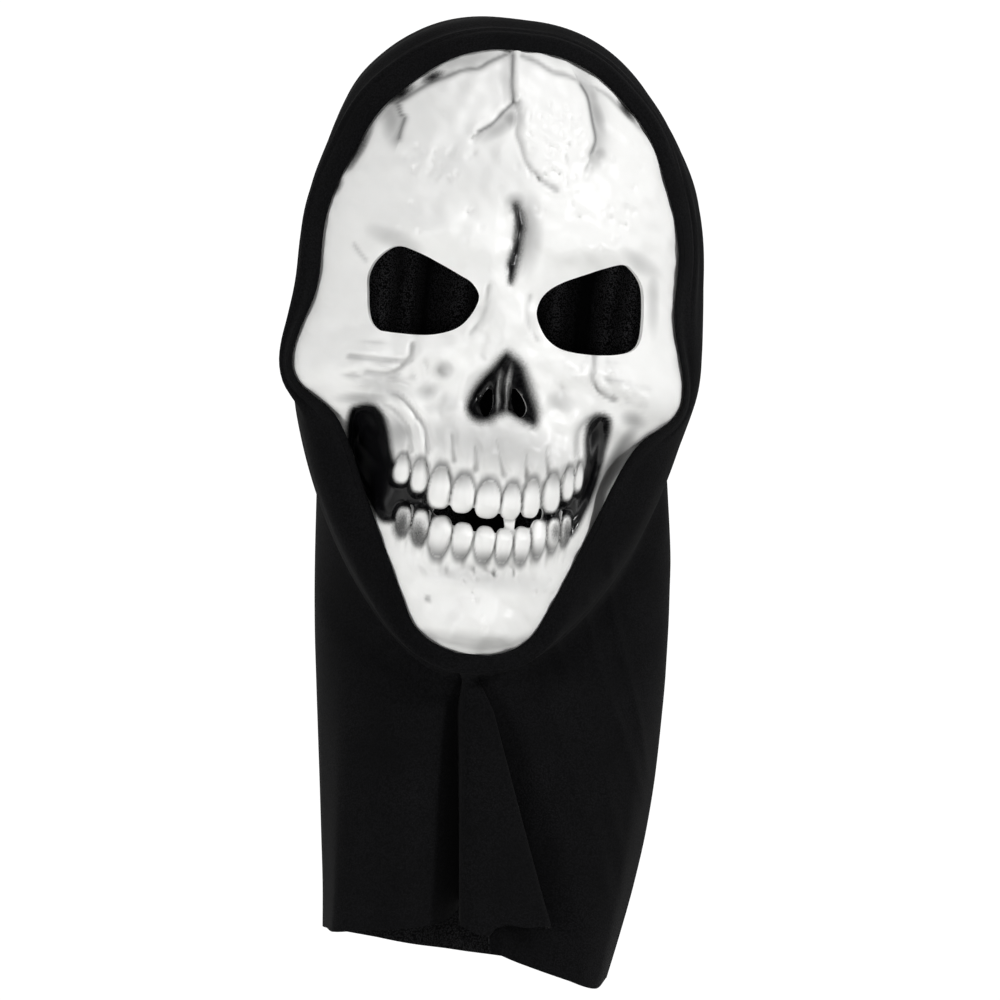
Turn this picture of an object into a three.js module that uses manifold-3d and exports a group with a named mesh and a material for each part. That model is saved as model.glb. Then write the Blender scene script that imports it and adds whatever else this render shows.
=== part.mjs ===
// A skull mask: one moulded plastic face, held by a rolled hem in the opening of a black cloth hood.
// Millimetres, +Z up. The face looks along -Y. The origin is where the crown of the head meets the hood.
// "up" is the height above the middle of the nose, and y = 0 is the plane of the face's rim at the cheeks.

import * as THREE from 'three';
import { mergeVertices } from 'three/addons/utils/BufferGeometryUtils.js';
import Module from 'manifold-3d';

const wasm = await Module();
wasm.setup();

// Driving dimensions
const SEAT_ABOVE_NOSE = 176;
const SEAT_BEHIND_RIM = 30;
const FACE_WALL = 1.6;
const CLOTH_WALL = 1.5;
const SEWN_GAP = 0.6;
const HEM_WIDTH = 8;
const HEM_THICKNESS = 2.6;
const NOSTRIL = { across: 7.6, up: -6.4, halfWidth: 3.4, halfHeight: 7 };
const MOUTH = { middleUp: -63, cornerLift: 3, halfWidth: 27.5, halfHeight: 2.4, endHalfHeight: 1 };
const MOUTH_WEB = { across: 10.2, halfWidth: 2.2 };
// The holes are punched from in front of the face to this far behind it.
const PUNCH = { fromY: -102, toY: -12 };
const TOOTH_RISE = 3.4;
const TOOTH_ROOT = 0.9;
// Where a tooth's rounded edge turns into its front, as shares of its half width and of its rise.
const TOOTH_SHOULDER = { radius: 0.75, height: 0.78 };

// The face is swept by this angle to each side of its middle: less than a right angle, to leave its mould.
const FACE_SWEEP = THREE.MathUtils.degToRad(72);
// Over this last part of the sweep the relief fades into the smooth flange under the hem.
const RELIEF_FADE = THREE.MathUtils.degToRad(7);

// Numbers of facets
const FACE_ROWS = 32;
const FACE_COLUMNS = 30;
const HOOD_COLUMNS = 60;
const RINGS_PER_SECTION = 1.2;
const HEM_SIDES = 8;
const HOLE_SIDES = 20;
const MOUTH_STEPS = 8;
const TOOTH_SIDES = 8;

const table = (names, ...rows) => {
  const columns = names.split(' ');
  return rows.map((row) => Object.fromEntries(columns.map((name, i) => [name, row[i]])));
};

// Level sections of the face, from the crown down to the chin: half its width at the rim, and where
// its rim and its middle lie.
const FACE_SECTIONS = table(
  'up halfWidth rimY frontY',
  [167, 12, -12, -15],
  [165.3, 20.5, -11.2, -19.5],
  [162.5, 29.5, -9.8, -26],
  [158, 38.5, -8, -33],
  [153, 45.8, -6.3, -39],
  [147, 52.5, -5, -44],
  [137, 63, -3.3, -52],
  [126, 71, -2, -59],
  [107, 79, 0, -68],
  [87, 85.5, 0, -73],
  [68, 88.6, 0, -76],
  [50, 88.6, 0, -75],
  [37, 89.8, 0, -74],
  [24, 93.2, 0, -74.5],
  [10, 96, 0, -75.5],
  [2, 96.2, 0, -76],
  [-4, 94.4, -1, -76.5],
  [-9, 91, -2, -77],
  [-20, 80, -6, -78],
  [-33, 72, -11, -80],
  [-58, 60, -20, -80],
  [-87, 47, -31, -75],
  [-104, 39, -37, -72],
  [-116, 32.5, -41, -71],
  [-123, 25, -42.8, -67],
  [-127, 17, -43.6, -60],
  [-129.5, 8, -44, -50],
);

// The hem, by its height on the face: how far it lies inside the rim, how far it leans back as it goes
// outward, in degrees, and how far its middle is lifted off the face.
const HEM_PLACES = table(
  'up lap back lift',
  [167, 5, 35, 1.1],
  [107, 4, 45, 1.1],
  [85, 3, 50, 1.2],
  [60, 3, 55, 1.3],
  [40, 3.8, 60, 1.5],
  [24, 3, 70, 2],
  [10, 2.4, 73, 2.1],
  [0, 2.2, 72, 2.2],
  [-9, 2.8, 66, 2.4],
  [-21, 7, 55, 2],
  [-33, 6.5, 50, 1.4],
  [-58, 5, 42, 1.1],
  [-104, 4.5, 38, 1.1],
  [-129.5, 3, 35, 1.1],
);

// Swellings and hollows of the skull, pressed straight forward (rise) or back. A row off the middle is made
// on both sides. The tilt, in degrees, lifts the outer end.
const RELIEF = table(
  'across up halfWidth halfHeight rise tilt',
  [38, 72, 34, 13, 5, -4], // brow ridge
  [41, 43, 37, 31, -9, -8], // eye socket
  [-2, 72, 10, 26, -4, 0], // crease between the brows
  [0, 30, 15, 24, 5, 0], // bridge of the nose
  [8, -4, 12, 17, -12, 0], // nose cavity, one lobe
  [0, 6, 9, 13, -6, 0], // nose cavity, top
  [40, 12, 34, 11, 4, -12], // lower edge of the socket
  [74, 6, 32, 17, 8, -20], // cheekbone
  [76, 64, 17, 34, -4, 0], // temple
  [60, -38, 16, 31, -16, -14], // hollow of the cheek
  [20, -30, 34, 15, 4, 0], // roots of the upper teeth
  [0, -63, 47, 8, -5, 0], // line of the mouth
  [0, -85, 40, 9, -3, 0], // below the lower teeth
  [0, -111, 25, 15, 5, 0], // chin
  [38, -92, 13, 30, 3, -24], // edge of the jaw
);

// The eye hole on the right of the picture, clockwise from its brow. The other is its mirror.
const EYE_HOLE = table(
  'across up',
  [53, 64],
  [61.5, 58.5],
  [66, 45],
  [65.5, 31],
  [60, 23.3],
  [48, 21.5],
  [36, 21.7],
  [25, 24.5],
  [18.5, 31],
  [14.2, 40],
  [17.5, 48.5],
  [30, 55.5],
  [42, 60.8],
);

const UPPER_TEETH = table(
  'across up halfWidth halfHeight',
  [-43.2, -42.4, 3.4, 7.1],
  [-34.4, -44.8, 3.9, 8.1],
  [-24.9, -50, 5.7, 11.4],
  [-13.1, -51.6, 5.7, 9],
  [-1.1, -52.3, 6.2, 9],
  [10, -52.6, 5.1, 8.6],
  [19.7, -49.1, 4.4, 10],
  [28.9, -45.8, 4.8, 10.5],
  [36, -40.7, 3.4, 8.1],
);

const LOWER_TEETH = table(
  'across up halfWidth halfHeight',
  [-40.3, -65.5, 3.4, 6.6],
  [-31.8, -68.9, 3.8, 7.1],
  [-22.3, -73.2, 5.5, 10],
  [-10.8, -73.9, 4.8, 8.6],
  [-0.3, -73.3, 4.8, 8.1],
  [8.3, -73.3, 4.3, 7.1],
  [17.8, -72.8, 4.4, 8.1],
  [25.6, -69.6, 3.9, 9.3],
  [32.6, -67.4, 3.4, 7.1],
);

// Sections of the hood, from the face's opening over the crown and the back to the hem of the cape. Each runs
// from its near point, under the chin, to its far point, on the crown or the back, and bow pushes its middle
// back. The cape hangs to one side, so left and right are told apart, and slope is how much lower it is for
// each millimetre to the right, half as much at the far end. The square column is how square the near end is,
// where 2 is an ellipse, and the opening column is the share of the opening's own outline that is left in the
// section.
const HOOD_SECTIONS = table(
  'nearY nearUp farY farUp bow left right slope square opening',
  [-46, -134, 0, 175.5, 29, 103.8, 101, 0, 1.9, 0.6],
  [-45, -136, 30, 180, 22, 97, 103, 0, 1.75, 0.22],
  [-44, -138, 66, 172, 17, 93.5, 103, 0, 1.7, 0.06],
  [-43.5, -140, 101, 141, 12, 86.5, 97.5, 0, 1.7, 0],
  [-43, -142, 122, 94, 8, 75, 92.5, 0, 1.75, 0],
  [-43, -144, 130, 42, 5, 71.5, 98.5, 0, 1.85, 0],
  [-42.5, -146, 128, -12, 3, 69.5, 102, 0, 1.95, 0],
  [-42, -149, 117, -62, 0, 68, 102.5, 0, 2.1, 0],
  [-42, -152, 104, -106, 0, 66, 102.5, 0, 2.2, 0],
  [-42, -157, 92, -144, 0, 63.6, 102, 0.01, 2.3, 0],
  [-42, -177, 82, -174, 0, 60.8, 101.2, 0.03, 2.3, 0],
  [-42, -200, 75, -202, 0, 57.8, 99.2, 0.05, 2.3, 0],
  [-42, -225, 70, -229, 0, 54.8, 95.4, 0.08, 2.3, 0],
  [-42, -249, 66, -256, 0, 51.8, 90.3, 0.11, 2.3, 0],
  [-42, -268, 64, -274.5, 0, 50, 86.3, 0.12, 2.3, 0],
);
// The hood sits a little askew: how far it is shifted sideways, by height.
const HOOD_SHIFT = table(
  'up across',
  [-20, 0],
  [30, 2.4],
  [100, 2],
  [131, -1.5],
  [150, -4],
  [180, -3.5],
);
// How square the opening's loop and every section's far end are.
const OPENING_SQUARENESS = 2;
const FAR_SQUARENESS = 2.4;
// How much closer together the facets are at the front.
const FRONT_CROWDING = 0.35;

// Folds of the cape, which grow from their top to the hem. The across columns place a fold at its top and at
// the hem, rise lifts it out of the cloth, and lean pushes its crest to the right.
const HEM_UP = -266;
// A fold's share of its half width at its top, how soon it rises, and how far it may run past HEM_UP.
const FOLD_GROWTH = { topWidth: 0.35, power: 0.7, most: 1.05 };
const FOLDS = table(
  'face topUp topAcross hemAcross halfWidth rise lean',
  ['front', -134, 3, 29, 23, 15, 8], // pleat under the chin
  ['front', -136, -6, 3, 9, -15, 0], // deep gap beside the pleat
  ['front', -140, -14, -17, 14, 7, 0], // soft fold on the left panel
  ['front', -140, 34, 58, 13, -6, 0], // shadow beside the pleat
  ['front', -120, 62, 74, 16, 5, 0], // fold at the right edge
  ['back', -40, 30, 45, 24, 9, 0],
  ['back', -60, -10, -4, 20, -8, 0],
  ['back', -40, -34, -34, 22, 9, 0],
);

// A smooth curve through one column of a table, which never overshoots its rows.
function columnCurve(rows, by, column) {
  const sorted = [...rows].sort((a, b) => a[by] - b[by]);
  const at = sorted.map((row) => row[by]);
  const value = sorted.map((row) => row[column]);
  const step = at.slice(1).map((end, i) => (value[i + 1] - value[i]) / (end - at[i]));
  const slope = value.map((_, i) => {
    if (i === 0) return step[0];
    if (i === value.length - 1) return step[i - 1];
    const product = step[i - 1] * step[i];
    return product <= 0 ? 0 : (2 * product) / (step[i - 1] + step[i]);
  });
  return (x) => {
    const clamped = THREE.MathUtils.clamp(x, at[0], at.at(-1));
    const i = Math.max(0, at.findLastIndex((start, k) => start <= clamped && k < at.length - 1));
    const span = at[i + 1] - at[i];
    const t = (clamped - at[i]) / span;
    const hermite = value[i] * (1 + 2 * t) * (1 - t) ** 2 + value[i + 1] * t * t * (3 - 2 * t);
    return hermite + span * (slope[i] * t * (1 - t) ** 2 - slope[i + 1] * t * t * (1 - t));
  };
}

// One at the middle of a rounded swelling, and nothing beyond its edge.
const swelling = (distanceSquared) => (distanceSquared < 1 ? (1 - distanceSquared) ** 2 : 0);

function closedGeometry(points, triangles) {
  const geometry = new THREE.BufferGeometry();
  const coordinates = points.flatMap((point) => point.toArray());
  geometry.setAttribute('position', new THREE.Float32BufferAttribute(coordinates, 3));
  const volume = triangles.reduce((sum, [a, b, c]) => {
    return sum + points[a].dot(points[b].clone().cross(points[c]));
  }, 0);
  const outward = volume > 0 ? triangles : triangles.map(([a, b, c]) => [a, c, b]);
  geometry.setIndex(outward.flat());
  return geometry;
}

// A wall between two grids of points. A wrapped grid closes on itself sideways. Other borders get an edge.
function wallGeometry(outer, inner, wraps) {
  const rows = outer.length;
  const columns = outer[0].length;
  const at = (layer, row, column) => (layer * rows + row) * columns + (column % columns);
  const triangles = [];
  const quad = (a, b, c, d) => triangles.push([a, b, c], [a, c, d]);
  const lastColumn = wraps ? columns : columns - 1;
  for (let row = 0; row < rows - 1; row += 1) {
    for (let column = 0; column < lastColumn; column += 1) {
      const corners = [[row, column], [row, column + 1], [row + 1, column + 1], [row + 1, column]];
      quad(...corners.map(([r, c]) => at(0, r, c)));
      quad(...corners.map(([r, c]) => at(1, r, c)).reverse());
    }
  }
  const edge = (from, to) => quad(at(0, ...from), at(1, ...from), at(1, ...to), at(0, ...to));
  for (let column = 0; column < lastColumn; column += 1) {
    edge([0, column], [0, column + 1]);
    edge([rows - 1, column + 1], [rows - 1, column]);
  }
  for (let row = 0; row < rows - 1 && !wraps; row += 1) {
    edge([row + 1, 0], [row, 0]);
    edge([row, columns - 1], [row + 1, columns - 1]);
  }
  return closedGeometry([...outer.flat(), ...inner.flat()], triangles);
}

function toSolid(geometry) {
  const bare = geometry.clone();
  bare.deleteAttribute('normal');
  bare.deleteAttribute('uv');
  const merged = mergeVertices(bare, 1e-4);
  const vertProperties = new Float32Array(merged.attributes.position.array);
  const triVerts = new Uint32Array(merged.index.array);
  return new wasm.Manifold(new wasm.Mesh({ numProp: 3, vertProperties, triVerts }));
}

function toGeometry(solid) {
  const mesh = solid.getMesh();
  const geometry = new THREE.BufferGeometry();
  geometry.setAttribute('position', new THREE.BufferAttribute(new Float32Array(mesh.vertProperties), 3));
  geometry.setIndex(new THREE.BufferAttribute(new Uint32Array(mesh.triVerts), 1));
  return geometry;
}

// The face
const rimHalfWidth = columnCurve(FACE_SECTIONS, 'up', 'halfWidth');
const rimY = columnCurve(FACE_SECTIONS, 'up', 'rimY');
const frontY = columnCurve(FACE_SECTIONS, 'up', 'frontY');
const CHIN_UP = FACE_SECTIONS.at(-1).up;
const CROWN_UP = FACE_SECTIONS[0].up;

function reliefAt(across, up, turn) {
  let rise = 0;
  for (const row of RELIEF) {
    const lift = THREE.MathUtils.degToRad(row.tilt);
    for (const side of row.across > 4 ? [1, -1] : [1]) {
      const dx = side * across - row.across;
      const dz = up - row.up;
      const along = dx * Math.cos(lift) + dz * Math.sin(lift);
      const over = dz * Math.cos(lift) - dx * Math.sin(lift);
      rise += row.rise * swelling((along / row.halfWidth) ** 2 + (over / row.halfHeight) ** 2);
    }
  }
  return rise * THREE.MathUtils.smoothstep(FACE_SWEEP - Math.abs(turn), 0, RELIEF_FADE);
}

function facePoint(turn, up, withRelief = true) {
  const rimCosine = Math.cos(FACE_SWEEP);
  const across = (rimHalfWidth(up) * Math.sin(turn)) / Math.sin(FACE_SWEEP);
  const bulge = (Math.cos(turn) - rimCosine) / (1 - rimCosine);
  const y = rimY(up) - (rimY(up) - frontY(up)) * bulge;
  return new THREE.Vector3(across, y - (withRelief ? reliefAt(across, up, turn) : 0), up);
}

const turnAt = (across, up) => {
  return Math.asin(THREE.MathUtils.clamp((across * Math.sin(FACE_SWEEP)) / rimHalfWidth(up), -1, 1));
};

// The outward normal of the face, found from four points close by.
function faceNormal(turn, up, withRelief) {
  const near = 0.02;
  const sideways = facePoint(turn + near, up, withRelief).sub(facePoint(turn - near, up, withRelief));
  const upwards = facePoint(turn, up + 1, withRelief).sub(facePoint(turn, up - 1, withRelief));
  return sideways.cross(upwards).normalize();
}

function toothSolid(tooth) {
  const profile = [
    new THREE.Vector2(0, -TOOTH_ROOT),
    new THREE.Vector2(1, -TOOTH_ROOT),
    new THREE.Vector2(1, 0),
    new THREE.Vector2(TOOTH_SHOULDER.radius, TOOTH_SHOULDER.height * TOOTH_RISE),
    new THREE.Vector2(0, TOOTH_RISE),
  ];
  const crown = new THREE.LatheGeometry(profile, TOOTH_SIDES, Math.PI / TOOTH_SIDES);
  crown.scale(tooth.halfWidth, 1, tooth.halfHeight);
  const turn = turnAt(tooth.across, tooth.up);
  const outward = faceNormal(turn, tooth.up, false);
  const upright = new THREE.Vector3(0, 0, -1).addScaledVector(outward, outward.z).normalize();
  const sideways = outward.clone().cross(upright);
  const place = new THREE.Matrix4().makeBasis(sideways, outward, upright);
  place.setPosition(facePoint(turn, tooth.up));
  return toSolid(crown.applyMatrix4(place));
}

// A hole through the front of the face, with its outline in the plane of across and up.
function holeSolid(outline) {
  const depth = PUNCH.toY - PUNCH.fromY;
  const shape = new THREE.Shape(outline);
  const prism = new THREE.ExtrudeGeometry(shape, { depth, bevelEnabled: false });
  prism.rotateX(Math.PI / 2);
  return toSolid(prism.translate(0, PUNCH.toY, 0));
}

function eyeHole(side) {
  const corners = EYE_HOLE.map((row) => new THREE.Vector3(side * row.across, row.up, 0));
  const round = new THREE.CatmullRomCurve3(corners, true).getPoints(HOLE_SIDES).slice(0, HOLE_SIDES);
  return holeSolid(round.map((p) => new THREE.Vector2(p.x, p.y)));
}

function nostrilHole(side) {
  const { across, up, halfWidth, halfHeight } = NOSTRIL;
  const oval = new THREE.EllipseCurve(side * across, up, halfWidth, halfHeight);
  return holeSolid(oval.getPoints(HOLE_SIDES / 2).slice(0, -1));
}

function mouthSlot(from, to) {
  const edge = (side) => Array.from({ length: MOUTH_STEPS + 1 }, (_, i) => {
    const across = THREE.MathUtils.lerp(from, to, i / MOUTH_STEPS);
    const share = across / MOUTH.halfWidth;
    const height = i % MOUTH_STEPS === 0 ? MOUTH.endHalfHeight : MOUTH.halfHeight;
    return new THREE.Vector2(across, MOUTH.middleUp + MOUTH.cornerLift * share * share + side * height);
  });
  return holeSolid([...edge(-1), ...edge(1).reverse()]);
}

function faceShell() {
  const outer = [];
  const inner = [];
  const shares = Array.from({ length: FACE_COLUMNS + 1 }, (_, i) => i / FACE_COLUMNS);
  const turns = shares.map((share) => THREE.MathUtils.lerp(-FACE_SWEEP, FACE_SWEEP, share));
  for (let row = 0; row <= FACE_ROWS; row += 1) {
    const up = THREE.MathUtils.lerp(CHIN_UP, CROWN_UP, row / FACE_ROWS);
    outer.push(turns.map((turn) => facePoint(turn, up)));
    inner.push(turns.map((turn, i) => {
      return outer[row][i].clone().addScaledVector(faceNormal(turn, up, false), -FACE_WALL);
    }));
  }
  let solid = toSolid(wallGeometry(outer, inner, false));
  for (const tooth of [...UPPER_TEETH, ...LOWER_TEETH]) solid = solid.add(toothSolid(tooth));
  const holes = [
    eyeHole(1),
    eyeHole(-1),
    nostrilHole(1),
    nostrilHole(-1),
    mouthSlot(-MOUTH.halfWidth, MOUTH_WEB.across - MOUTH_WEB.halfWidth),
    mouthSlot(MOUTH_WEB.across + MOUTH_WEB.halfWidth, MOUTH.halfWidth),
  ];
  for (const hole of holes) solid = solid.subtract(hole);
  return toGeometry(solid);
}

// A place on a loop round the opening or the hood, from the chin up the right side to the far end and back
// down the left: how far out it is to the side, from -1 to 1, and how far from the near end, from 0 to 1.
function loopPlace(share, nearSquareness) {
  const turn = 2 * Math.PI * share - FRONT_CROWDING * Math.sin(2 * Math.PI * share);
  const squareness = Math.cos(turn) > 0 ? nearSquareness : FAR_SQUARENESS;
  const rounded = (value) => Math.sign(value) * Math.abs(value) ** (2 / squareness);
  return { side: rounded(Math.sin(turn)), far: (1 - rounded(Math.cos(turn))) / 2 };
}

function rimPoint(share) {
  const { side, far } = loopPlace(share, OPENING_SQUARENESS);
  const up = THREE.MathUtils.lerp(CHIN_UP, CROWN_UP, far);
  const onMiddle = Math.abs(side) < 1e-6;
  return new THREE.Vector2(onMiddle ? 0 : Math.sign(side) * rimHalfWidth(up), up);
}

// The hem lies on the face a little inside its rim and leans back as it goes outward.
function hemFrames() {
  const back = new THREE.Vector3(0, 1, 0);
  const [lapAt, backAt, liftAt] = ['lap', 'back', 'lift'].map((name) => columnCurve(HEM_PLACES, 'up', name));
  return Array.from({ length: HOOD_COLUMNS }, (_, i) => {
    const rim = rimPoint(i / HOOD_COLUMNS);
    const along = rimPoint((i + 0.5) / HOOD_COLUMNS).sub(rimPoint((i - 0.5) / HOOD_COLUMNS)).normalize();
    const out = new THREE.Vector3(along.y, 0, -along.x);
    const lap = lapAt(rim.y);
    const across = rim.x - lap * out.x;
    const up = rim.y - lap * out.z;
    const turn = turnAt(across, up);
    const lean = THREE.MathUtils.degToRad(backAt(rim.y));
    const inside = facePoint(turn, up, false);
    inside.y = Math.min(inside.y, facePoint(turn, up).y);
    const width = out.clone().multiplyScalar(Math.cos(lean)).addScaledVector(back, Math.sin(lean));
    const face = out.clone().multiplyScalar(Math.sin(lean)).addScaledVector(back, -Math.cos(lean));
    inside.addScaledVector(face, liftAt(rim.y));
    return { inside, width, face };
  });
}

function openingHem(frames) {
  const rings = Array.from({ length: HEM_SIDES }, (_, side) => {
    const angle = (2 * Math.PI * side) / HEM_SIDES;
    const outward = (HEM_WIDTH / 2) * (1 - Math.cos(angle));
    const forward = (HEM_THICKNESS / 2) * Math.sin(angle);
    return frames.map(({ inside, width, face }) => {
      return inside.clone().addScaledVector(width, outward).addScaledVector(face, forward);
    });
  });
  const points = rings.flat();
  const count = frames.length;
  const triangles = [];
  for (let side = 0; side < HEM_SIDES; side += 1) {
    for (let i = 0; i < count; i += 1) {
      const corner = (s, k) => ((s % HEM_SIDES) * count) + (k % count);
      triangles.push([corner(side, i), corner(side, i + 1), corner(side + 1, i + 1)]);
      triangles.push([corner(side, i), corner(side + 1, i + 1), corner(side + 1, i)]);
    }
  }
  return closedGeometry(points, triangles);
}

// The hood
const hoodShift = columnCurve(HOOD_SHIFT, 'up', 'across');

function hoodSectionPoint(section, share) {
  const { side, far } = loopPlace(share, section.square);
  const across = side * (side > 0 ? section.right : section.left);
  const y = THREE.MathUtils.lerp(section.nearY, section.farY, far) + 4 * section.bow * far * (1 - far);
  const level = THREE.MathUtils.lerp(section.nearUp, section.farUp, far);
  const up = level - section.slope * across * (1 - far / 2);
  return new THREE.Vector3(across + hoodShift(up), y, up);
}

function foldCloth(point, isFront) {
  const folded = point.clone();
  for (const fold of FOLDS) {
    if ((fold.face === 'front') !== isFront) continue;
    const below = (fold.topUp - point.z) / (fold.topUp - HEM_UP);
    const grown = THREE.MathUtils.clamp(below, 0, FOLD_GROWTH.most);
    const across = THREE.MathUtils.lerp(fold.topAcross, fold.hemAcross, grown);
    const halfWidth = fold.halfWidth * THREE.MathUtils.lerp(FOLD_GROWTH.topWidth, 1, grown);
    const amount = grown ** FOLD_GROWTH.power * swelling(((point.x - across) / halfWidth) ** 2);
    folded.y += (isFront ? -1 : 1) * fold.rise * amount;
    folded.x += fold.lean * amount;
  }
  return folded;
}

// The points of the hood's inner face, ring by ring from the opening to the hem of the cape.
function hoodRings(frames) {
  const opening = frames.map(({ inside, width }) => {
    return inside.clone().addScaledVector(width, HEM_WIDTH + SEWN_GAP);
  });
  const sections = HOOD_SECTIONS.map((section) => opening.map((edge, i) => {
    const drawn = hoodSectionPoint(section, i / HOOD_COLUMNS);
    return foldCloth(drawn.lerp(edge, section.opening), Math.cos((2 * Math.PI * i) / HOOD_COLUMNS) > 0);
  }));
  const along = opening.map((edge, i) => {
    return new THREE.CatmullRomCurve3([edge, ...sections.map((ring) => ring[i])]);
  });
  const count = Math.round(HOOD_SECTIONS.length * RINGS_PER_SECTION);
  return Array.from({ length: count + 1 }, (_, ring) => along.map((curve) => curve.getPoint(ring / count)));
}

function hood(frames) {
  const inner = hoodRings(frames);
  const columns = HOOD_COLUMNS;
  const outer = inner.map((ring, r) => ring.map((point, i) => {
    const around = ring[(i + 1) % columns].clone().sub(ring[(i + columns - 1) % columns]);
    const along = inner[Math.min(r + 1, inner.length - 1)][i].clone().sub(inner[Math.max(r - 1, 0)][i]);
    return point.clone().addScaledVector(along.cross(around).normalize(), CLOTH_WALL);
  }));
  return wallGeometry(outer, inner, true);
}

const pvc = { color: '#ecebe8', roughness: 0.32, metalness: 0 };
const cloth = { color: '#161618', roughness: 0.95, metalness: 0 };

function piece(name, geometry, finish) {
  const mesh = new THREE.Mesh(geometry, new THREE.MeshStandardMaterial(finish));
  mesh.name = name;
  return mesh;
}

const frames = hemFrames();
const mask = new THREE.Group();
mask.name = 'skull_mask';
mask.add(piece('face_shell', faceShell(), pvc));
mask.add(piece('opening_hem', openingHem(frames), cloth));
mask.add(piece('hood', hood(frames), cloth));
mask.position.set(0, -SEAT_BEHIND_RIM, -SEAT_ABOVE_NOSE);

export default mask;
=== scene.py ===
# %% [markdown]
# # A skull mask in a cloth hood
#
# The object is a carnival mask. One sheet of white PVC is vacuum-formed into a skull face, cut open at
# the eyes, nostrils and mouth, and airbrushed with black. A rolled hem holds it in the opening of a
# black knitted hood, which ends in a short cape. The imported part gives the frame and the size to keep,
# and this lesson dresses it.

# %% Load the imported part
import math
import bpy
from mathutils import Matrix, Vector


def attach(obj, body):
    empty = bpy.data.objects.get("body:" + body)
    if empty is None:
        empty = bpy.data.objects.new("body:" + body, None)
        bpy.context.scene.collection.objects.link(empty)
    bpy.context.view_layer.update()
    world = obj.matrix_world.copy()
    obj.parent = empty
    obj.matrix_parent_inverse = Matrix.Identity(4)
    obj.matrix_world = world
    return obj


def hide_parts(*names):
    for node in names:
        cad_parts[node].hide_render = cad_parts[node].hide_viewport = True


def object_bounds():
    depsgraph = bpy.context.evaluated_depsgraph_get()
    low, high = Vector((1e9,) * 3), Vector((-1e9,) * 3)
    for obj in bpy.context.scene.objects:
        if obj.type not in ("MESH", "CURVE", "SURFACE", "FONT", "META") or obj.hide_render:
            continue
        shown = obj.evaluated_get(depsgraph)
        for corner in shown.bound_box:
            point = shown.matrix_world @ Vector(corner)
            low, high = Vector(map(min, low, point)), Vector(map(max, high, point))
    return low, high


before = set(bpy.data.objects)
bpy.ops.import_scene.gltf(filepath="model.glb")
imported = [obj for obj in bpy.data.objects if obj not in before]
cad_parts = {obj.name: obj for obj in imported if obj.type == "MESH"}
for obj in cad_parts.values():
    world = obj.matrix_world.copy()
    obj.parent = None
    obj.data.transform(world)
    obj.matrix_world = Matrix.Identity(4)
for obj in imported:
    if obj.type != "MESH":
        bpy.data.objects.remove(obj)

from types import SimpleNamespace

import bpy
import numpy as np
from mathutils import Matrix, Vector

cad_box = [list(corner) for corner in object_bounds()]
print("CAD box in metres:", [[round(v, 4) for v in corner] for corner in cad_box])

# %% [markdown]
# ## The mask's own frame
#
# The part's origin is where the crown of the head meets the hood. A mask maker measures from the middle
# of the face, so the tables below use millimetres: across and up from the middle of the nose, and y
# from the plane of the face's rim. One function turns them into metres of the part, and nothing else
# has to know about the shift.

# %% Millimetres of the mask to metres of the part
MM = 0.001
SEAT_ABOVE_NOSE = 176
SEAT_BEHIND_RIM = 30


def to_part(points):
    """Points in the mask's millimetres, as metres in the part's frame."""
    return (np.asarray(points, float) - (0, SEAT_BEHIND_RIM, SEAT_ABOVE_NOSE)) * MM


def table(names, *rows):
    """Rows of a table whose columns have names."""
    keys = names.split()
    return [SimpleNamespace(**dict(zip(keys, row))) for row in rows]


NOSE = (0, -76, 0)
print("the nose is at", to_part(NOSE).round(4))

# %% [markdown]
# ## The camera
#
# The photograph looks almost straight at the mask, a little from one side, and the mask leans. Here the
# mask stays upright and the camera rolls instead. A long lens keeps the perspective as flat as the
# photograph's. The same numbers let us read a place off the photograph later: a pixel is a ray, and the
# ray meets the face.

# %% Place the camera
PHOTO_SIDE = 1000
MM_PER_PIXEL = 0.476
NOSE_PIXEL = (501.7, 390)
LENS_MM = 400
SENSOR_MM = 36
azimuth, elevation, roll = np.radians((-6.0, 1.0, 5.6))

level_right = np.array([math.cos(azimuth), math.sin(azimuth), 0])
level_back = np.array([math.sin(azimuth), -math.cos(azimuth), 0])
back = math.cos(elevation) * level_back + math.sin(elevation) * np.array([0, 0, 1])
level_up = np.cross(back, level_right)
right = math.cos(roll) * level_right + math.sin(roll) * level_up
upward = math.cos(roll) * level_up - math.sin(roll) * level_right

pixel_m = MM_PER_PIXEL * MM
middle = PHOTO_SIDE / 2
distance = PHOTO_SIDE * pixel_m * LENS_MM / SENSOR_MM
off_nose = pixel_m * (middle - np.array(NOSE_PIXEL))
aim = to_part(NOSE) + right * off_nose[0] - upward * off_nose[1]
eye = aim + back * distance

camera = bpy.data.objects.new("camera", bpy.data.cameras.new("camera"))
camera.data.lens = LENS_MM
camera.data.sensor_width = SENSOR_MM
camera.matrix_world = Matrix([*np.column_stack([right, upward, back, eye]).tolist(), (0, 0, 0, 1)])
bpy.context.collection.objects.link(camera)
bpy.context.scene.camera = camera
print(f"camera {distance:.2f} m from the mask")

# %% [markdown]
# ## Light and floor
#
# A product photograph like this one is lit by soft boxes in front of a white sweep, so the background
# burns out to white while black plastic still shows crisp highlights. The world is white behind the
# mask and dimmer behind the camera, because gloss reflects what is behind the camera. Four soft boxes
# do the modelling, the strongest from the right. One small function adds a node with its settings and
# links, for every shader below.

# %% The world
def add_node(tree, kind, settings, inputs):
    """Adds a node. Each input gets a number, a colour or the socket of another node."""
    made = tree.nodes.new(kind)
    for name, value in settings.items():
        setattr(made, name, value)
    for name, value in inputs.items():
        if isinstance(value, bpy.types.NodeSocket):
            tree.links.new(value, made.inputs[name])
        else:
            made.inputs[name].default_value = value
    return made


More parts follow.
